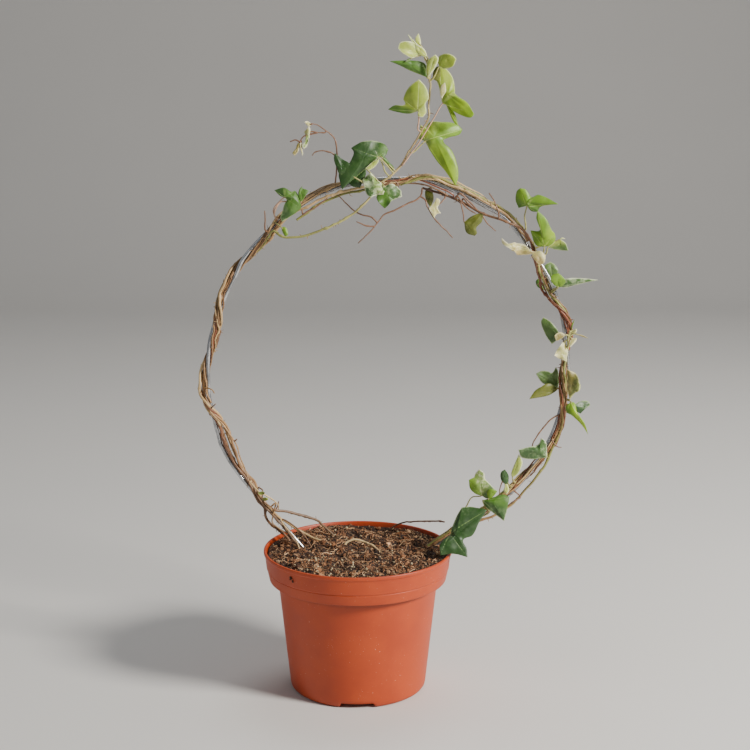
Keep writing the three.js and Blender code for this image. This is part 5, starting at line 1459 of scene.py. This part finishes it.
def soil_fibres(finish, rng):
    """Short root fibres that lie on the ground, each bent sideways as a parabola."""
    growth = Growth()
    for place in scattered(FIBRE_COUNT, rng, SOIL_RADIUS - 3):
        turn, run = rng.uniform(0, 6.3), rng.uniform(2, 8)
        lift = rng.uniform(0.2, 1.1)
        way = np.array([np.cos(turn), np.sin(turn), 0])
        sideways = np.array([-way[1], way[0], 0])
        t = np.linspace(-0.5, 0.5, 6)[:, None]
        path = place + run * t * way + run * rng.uniform(-0.25, 0.25) * (1 - 4 * t ** 2) * sideways
        if np.hypot(path[:, 0], path[:, 1]).max() >= SOIL_RADIUS - 1:
            continue
        path[:, 2] = soil_surface(path) + lift + rng.uniform(-0.6, 0.6) * t[:, 0]
        points, faces, _ = tube(path, rng.uniform(0.08, 0.2), 5)
        tone = SOIL_TONES[rng.choice(FIBRE_TONES)] * rng.uniform(0.7, 1.3) * lightness_by_height(path)[2]
        growth.add(points, faces, tone=np.tile([*tone, 1], (len(points), 1)))
    growth.piece("soil_fibres", finish, "potting_soil", "soil")


def make_soil(bed_finish, crumb_look):
    """The soil's body and the loose bits on it."""
    soil_bed(bed_finish)
    rng = np.random.default_rng(SOIL_SEED)
    soil_crumbs(crumb_look, rng)
    soil_grit(crumb_look, rng)
    soil_fibres(crumb_look, rng)


# ---- wire ----


def make_wire(finish):
    """The hoop's wire, its thickness a little uneven along it."""
    path, along = smooth_path(hoop_at(np.arange(WIRE_TIPS[0], WIRE_TIPS[1] + 0.1, 1.0))[0], 1.2)
    size = WIRE_RADIUS * (1 + 0.006 * noise(on_line(along), 6.0, 3))
    points, faces, turns = tube(path, size[:, None], WIRE_SIDES)
    far = np.concatenate([np.repeat(along, WIRE_SIDES), [0, along[-1]]])
    growth = Growth()
    growth.add(points, faces, bark_place=np.column_stack([np.cos(turns), np.sin(turns), far]))
    growth.piece("wire_hoop", finish, "galvanised_wire", "hoop_wire")


# ---- studio, in metres ----

# Round lamps: name, place, width, power and colour.
LAMPS = [
    ("key", (1.25, -0.7, 0.95), 0.4, 46, (1.0, 0.96, 0.9)),
    ("fill", (-1.3, -0.5, 0.7), 1.2, 2.2, (0.95, 0.98, 1.0)),
    ("top", (0.2, 0.6, 1.5), 0.8, 6, (1.0, 1.0, 1.0)),
]
LAMPS_AIM = (0.015, 0, 0.2)
AIR_LIGHT = 0.15
CAMERA_PLACE = (0.011, -0.920, 0.385)
CAMERA_DIP = 11.1555
CAMERA_LENS, CAMERA_SENSOR = 72, 36

# The floor is flat from its front to the sweep's start, and its back stands upright.
FLOOR_SIDE, FLOOR_FRONT = 3, -2.5
SWEEP_START, SWEEP_RADIUS, SWEEP_STEPS = 1.6, 0.9, 24
BACK_TOP = 4.0


def studio():
    """A pale floor that sweeps up behind, soft area lights and the camera."""
    across = np.linspace(-FLOOR_SIDE, FLOOR_SIDE, 3)
    turn = np.linspace(0, np.pi / 2, SWEEP_STEPS)
    run = np.concatenate([[FLOOR_FRONT], SWEEP_START + SWEEP_RADIUS * np.sin(turn),
                          [SWEEP_START + SWEEP_RADIUS]])
    rise = np.concatenate([[0], SWEEP_RADIUS * (1 - np.cos(turn)), [BACK_TOP]])
    points = np.array([(x, y, z) for y, z in zip(run, rise) for x in across])
    faces = [(i, i + 1, i + 4, i + 3) for row in range(len(run) - 1)
             for i in range(row * 3, row * 3 + 2)]
    mesh = bpy.data.meshes.new("studio_floor")
    mesh.from_pydata(points.tolist(), [], faces)
    mesh.polygons.foreach_set("use_smooth", np.ones(len(faces), bool))
    floor = bpy.data.objects.new("studio_floor", mesh)
    bpy.context.scene.collection.objects.link(floor)
    material, n, sockets = finish_material("pale floor", 0.75)
    cloud = n.noise(n.make("ShaderNodeTexCoord").outputs["Object"], 3.0, 2.0)
    n.put(n.mix(cloud, srgb("#dcdad6"), srgb("#e2e0dc")), sockets["Base Color"])
    mesh.materials.append(material)

    for name, place, size, power, colour in LAMPS:
        light = bpy.data.lights.new(name, "AREA")
        light.shape, light.size, light.energy, light.color = "DISK", size, power, colour
        lamp = bpy.data.objects.new(name, light)
        lamp.location = place
        aim = np.array(LAMPS_AIM) - np.array(place)
        lamp.rotation_euler = (np.arctan2(np.hypot(aim[0], aim[1]), -aim[2]), 0,
                               np.arctan2(-aim[0], aim[1]))
        bpy.context.scene.collection.objects.link(lamp)
    world = bpy.data.worlds.new("studio air")
    world.use_nodes = True
    world.node_tree.nodes["Background"].inputs["Color"].default_value = (0.9, 0.93, 1, 1)
    world.node_tree.nodes["Background"].inputs["Strength"].default_value = AIR_LIGHT
    bpy.context.scene.world = world

    camera = bpy.data.objects.new("camera", bpy.data.cameras.new("camera"))
    camera.location = CAMERA_PLACE
    camera.rotation_euler = (np.radians(90 - CAMERA_DIP), 0, 0)
    camera.data.lens, camera.data.sensor_width = CAMERA_LENS, CAMERA_SENSOR
    bpy.context.scene.collection.objects.link(camera)
    bpy.context.scene.camera = camera


# ---- making it ----

SEEDS_FOR_A_STEM = 200
DEAD_STEM_SEED = 1900

studio()
specks = speckle_group()
bark_finish = bark()
leaf_finish = leaf_skin(leaf_skin_group())
make_pot(pot_plastic(specks))
make_soil(crumb_finish("peat bed"), crumb_finish("peat crumbs"))
make_wire(wire_metal(specks))
for number, part in enumerate(STEMS):
    wood, blades = Growth(), Growth()
    grow(wood, blades, part, number * SEEDS_FOR_A_STEM + 3)
    wood.piece(part["name"] + "_bark", bark_finish, "brown_bark", part["name"])
    if blades.points:
        blades.piece(part["name"] + "_leaves", leaf_finish, "ivy_green", part["name"])
for number, (name, radius, tones, route) in enumerate(DEAD_STEMS):
    wood = Growth()
    bark_rod(wood, route, radius, tones, DEAD_STEM_SEED + number)
    wood.piece(name + "_bark", bark_finish, "brown_bark", name)
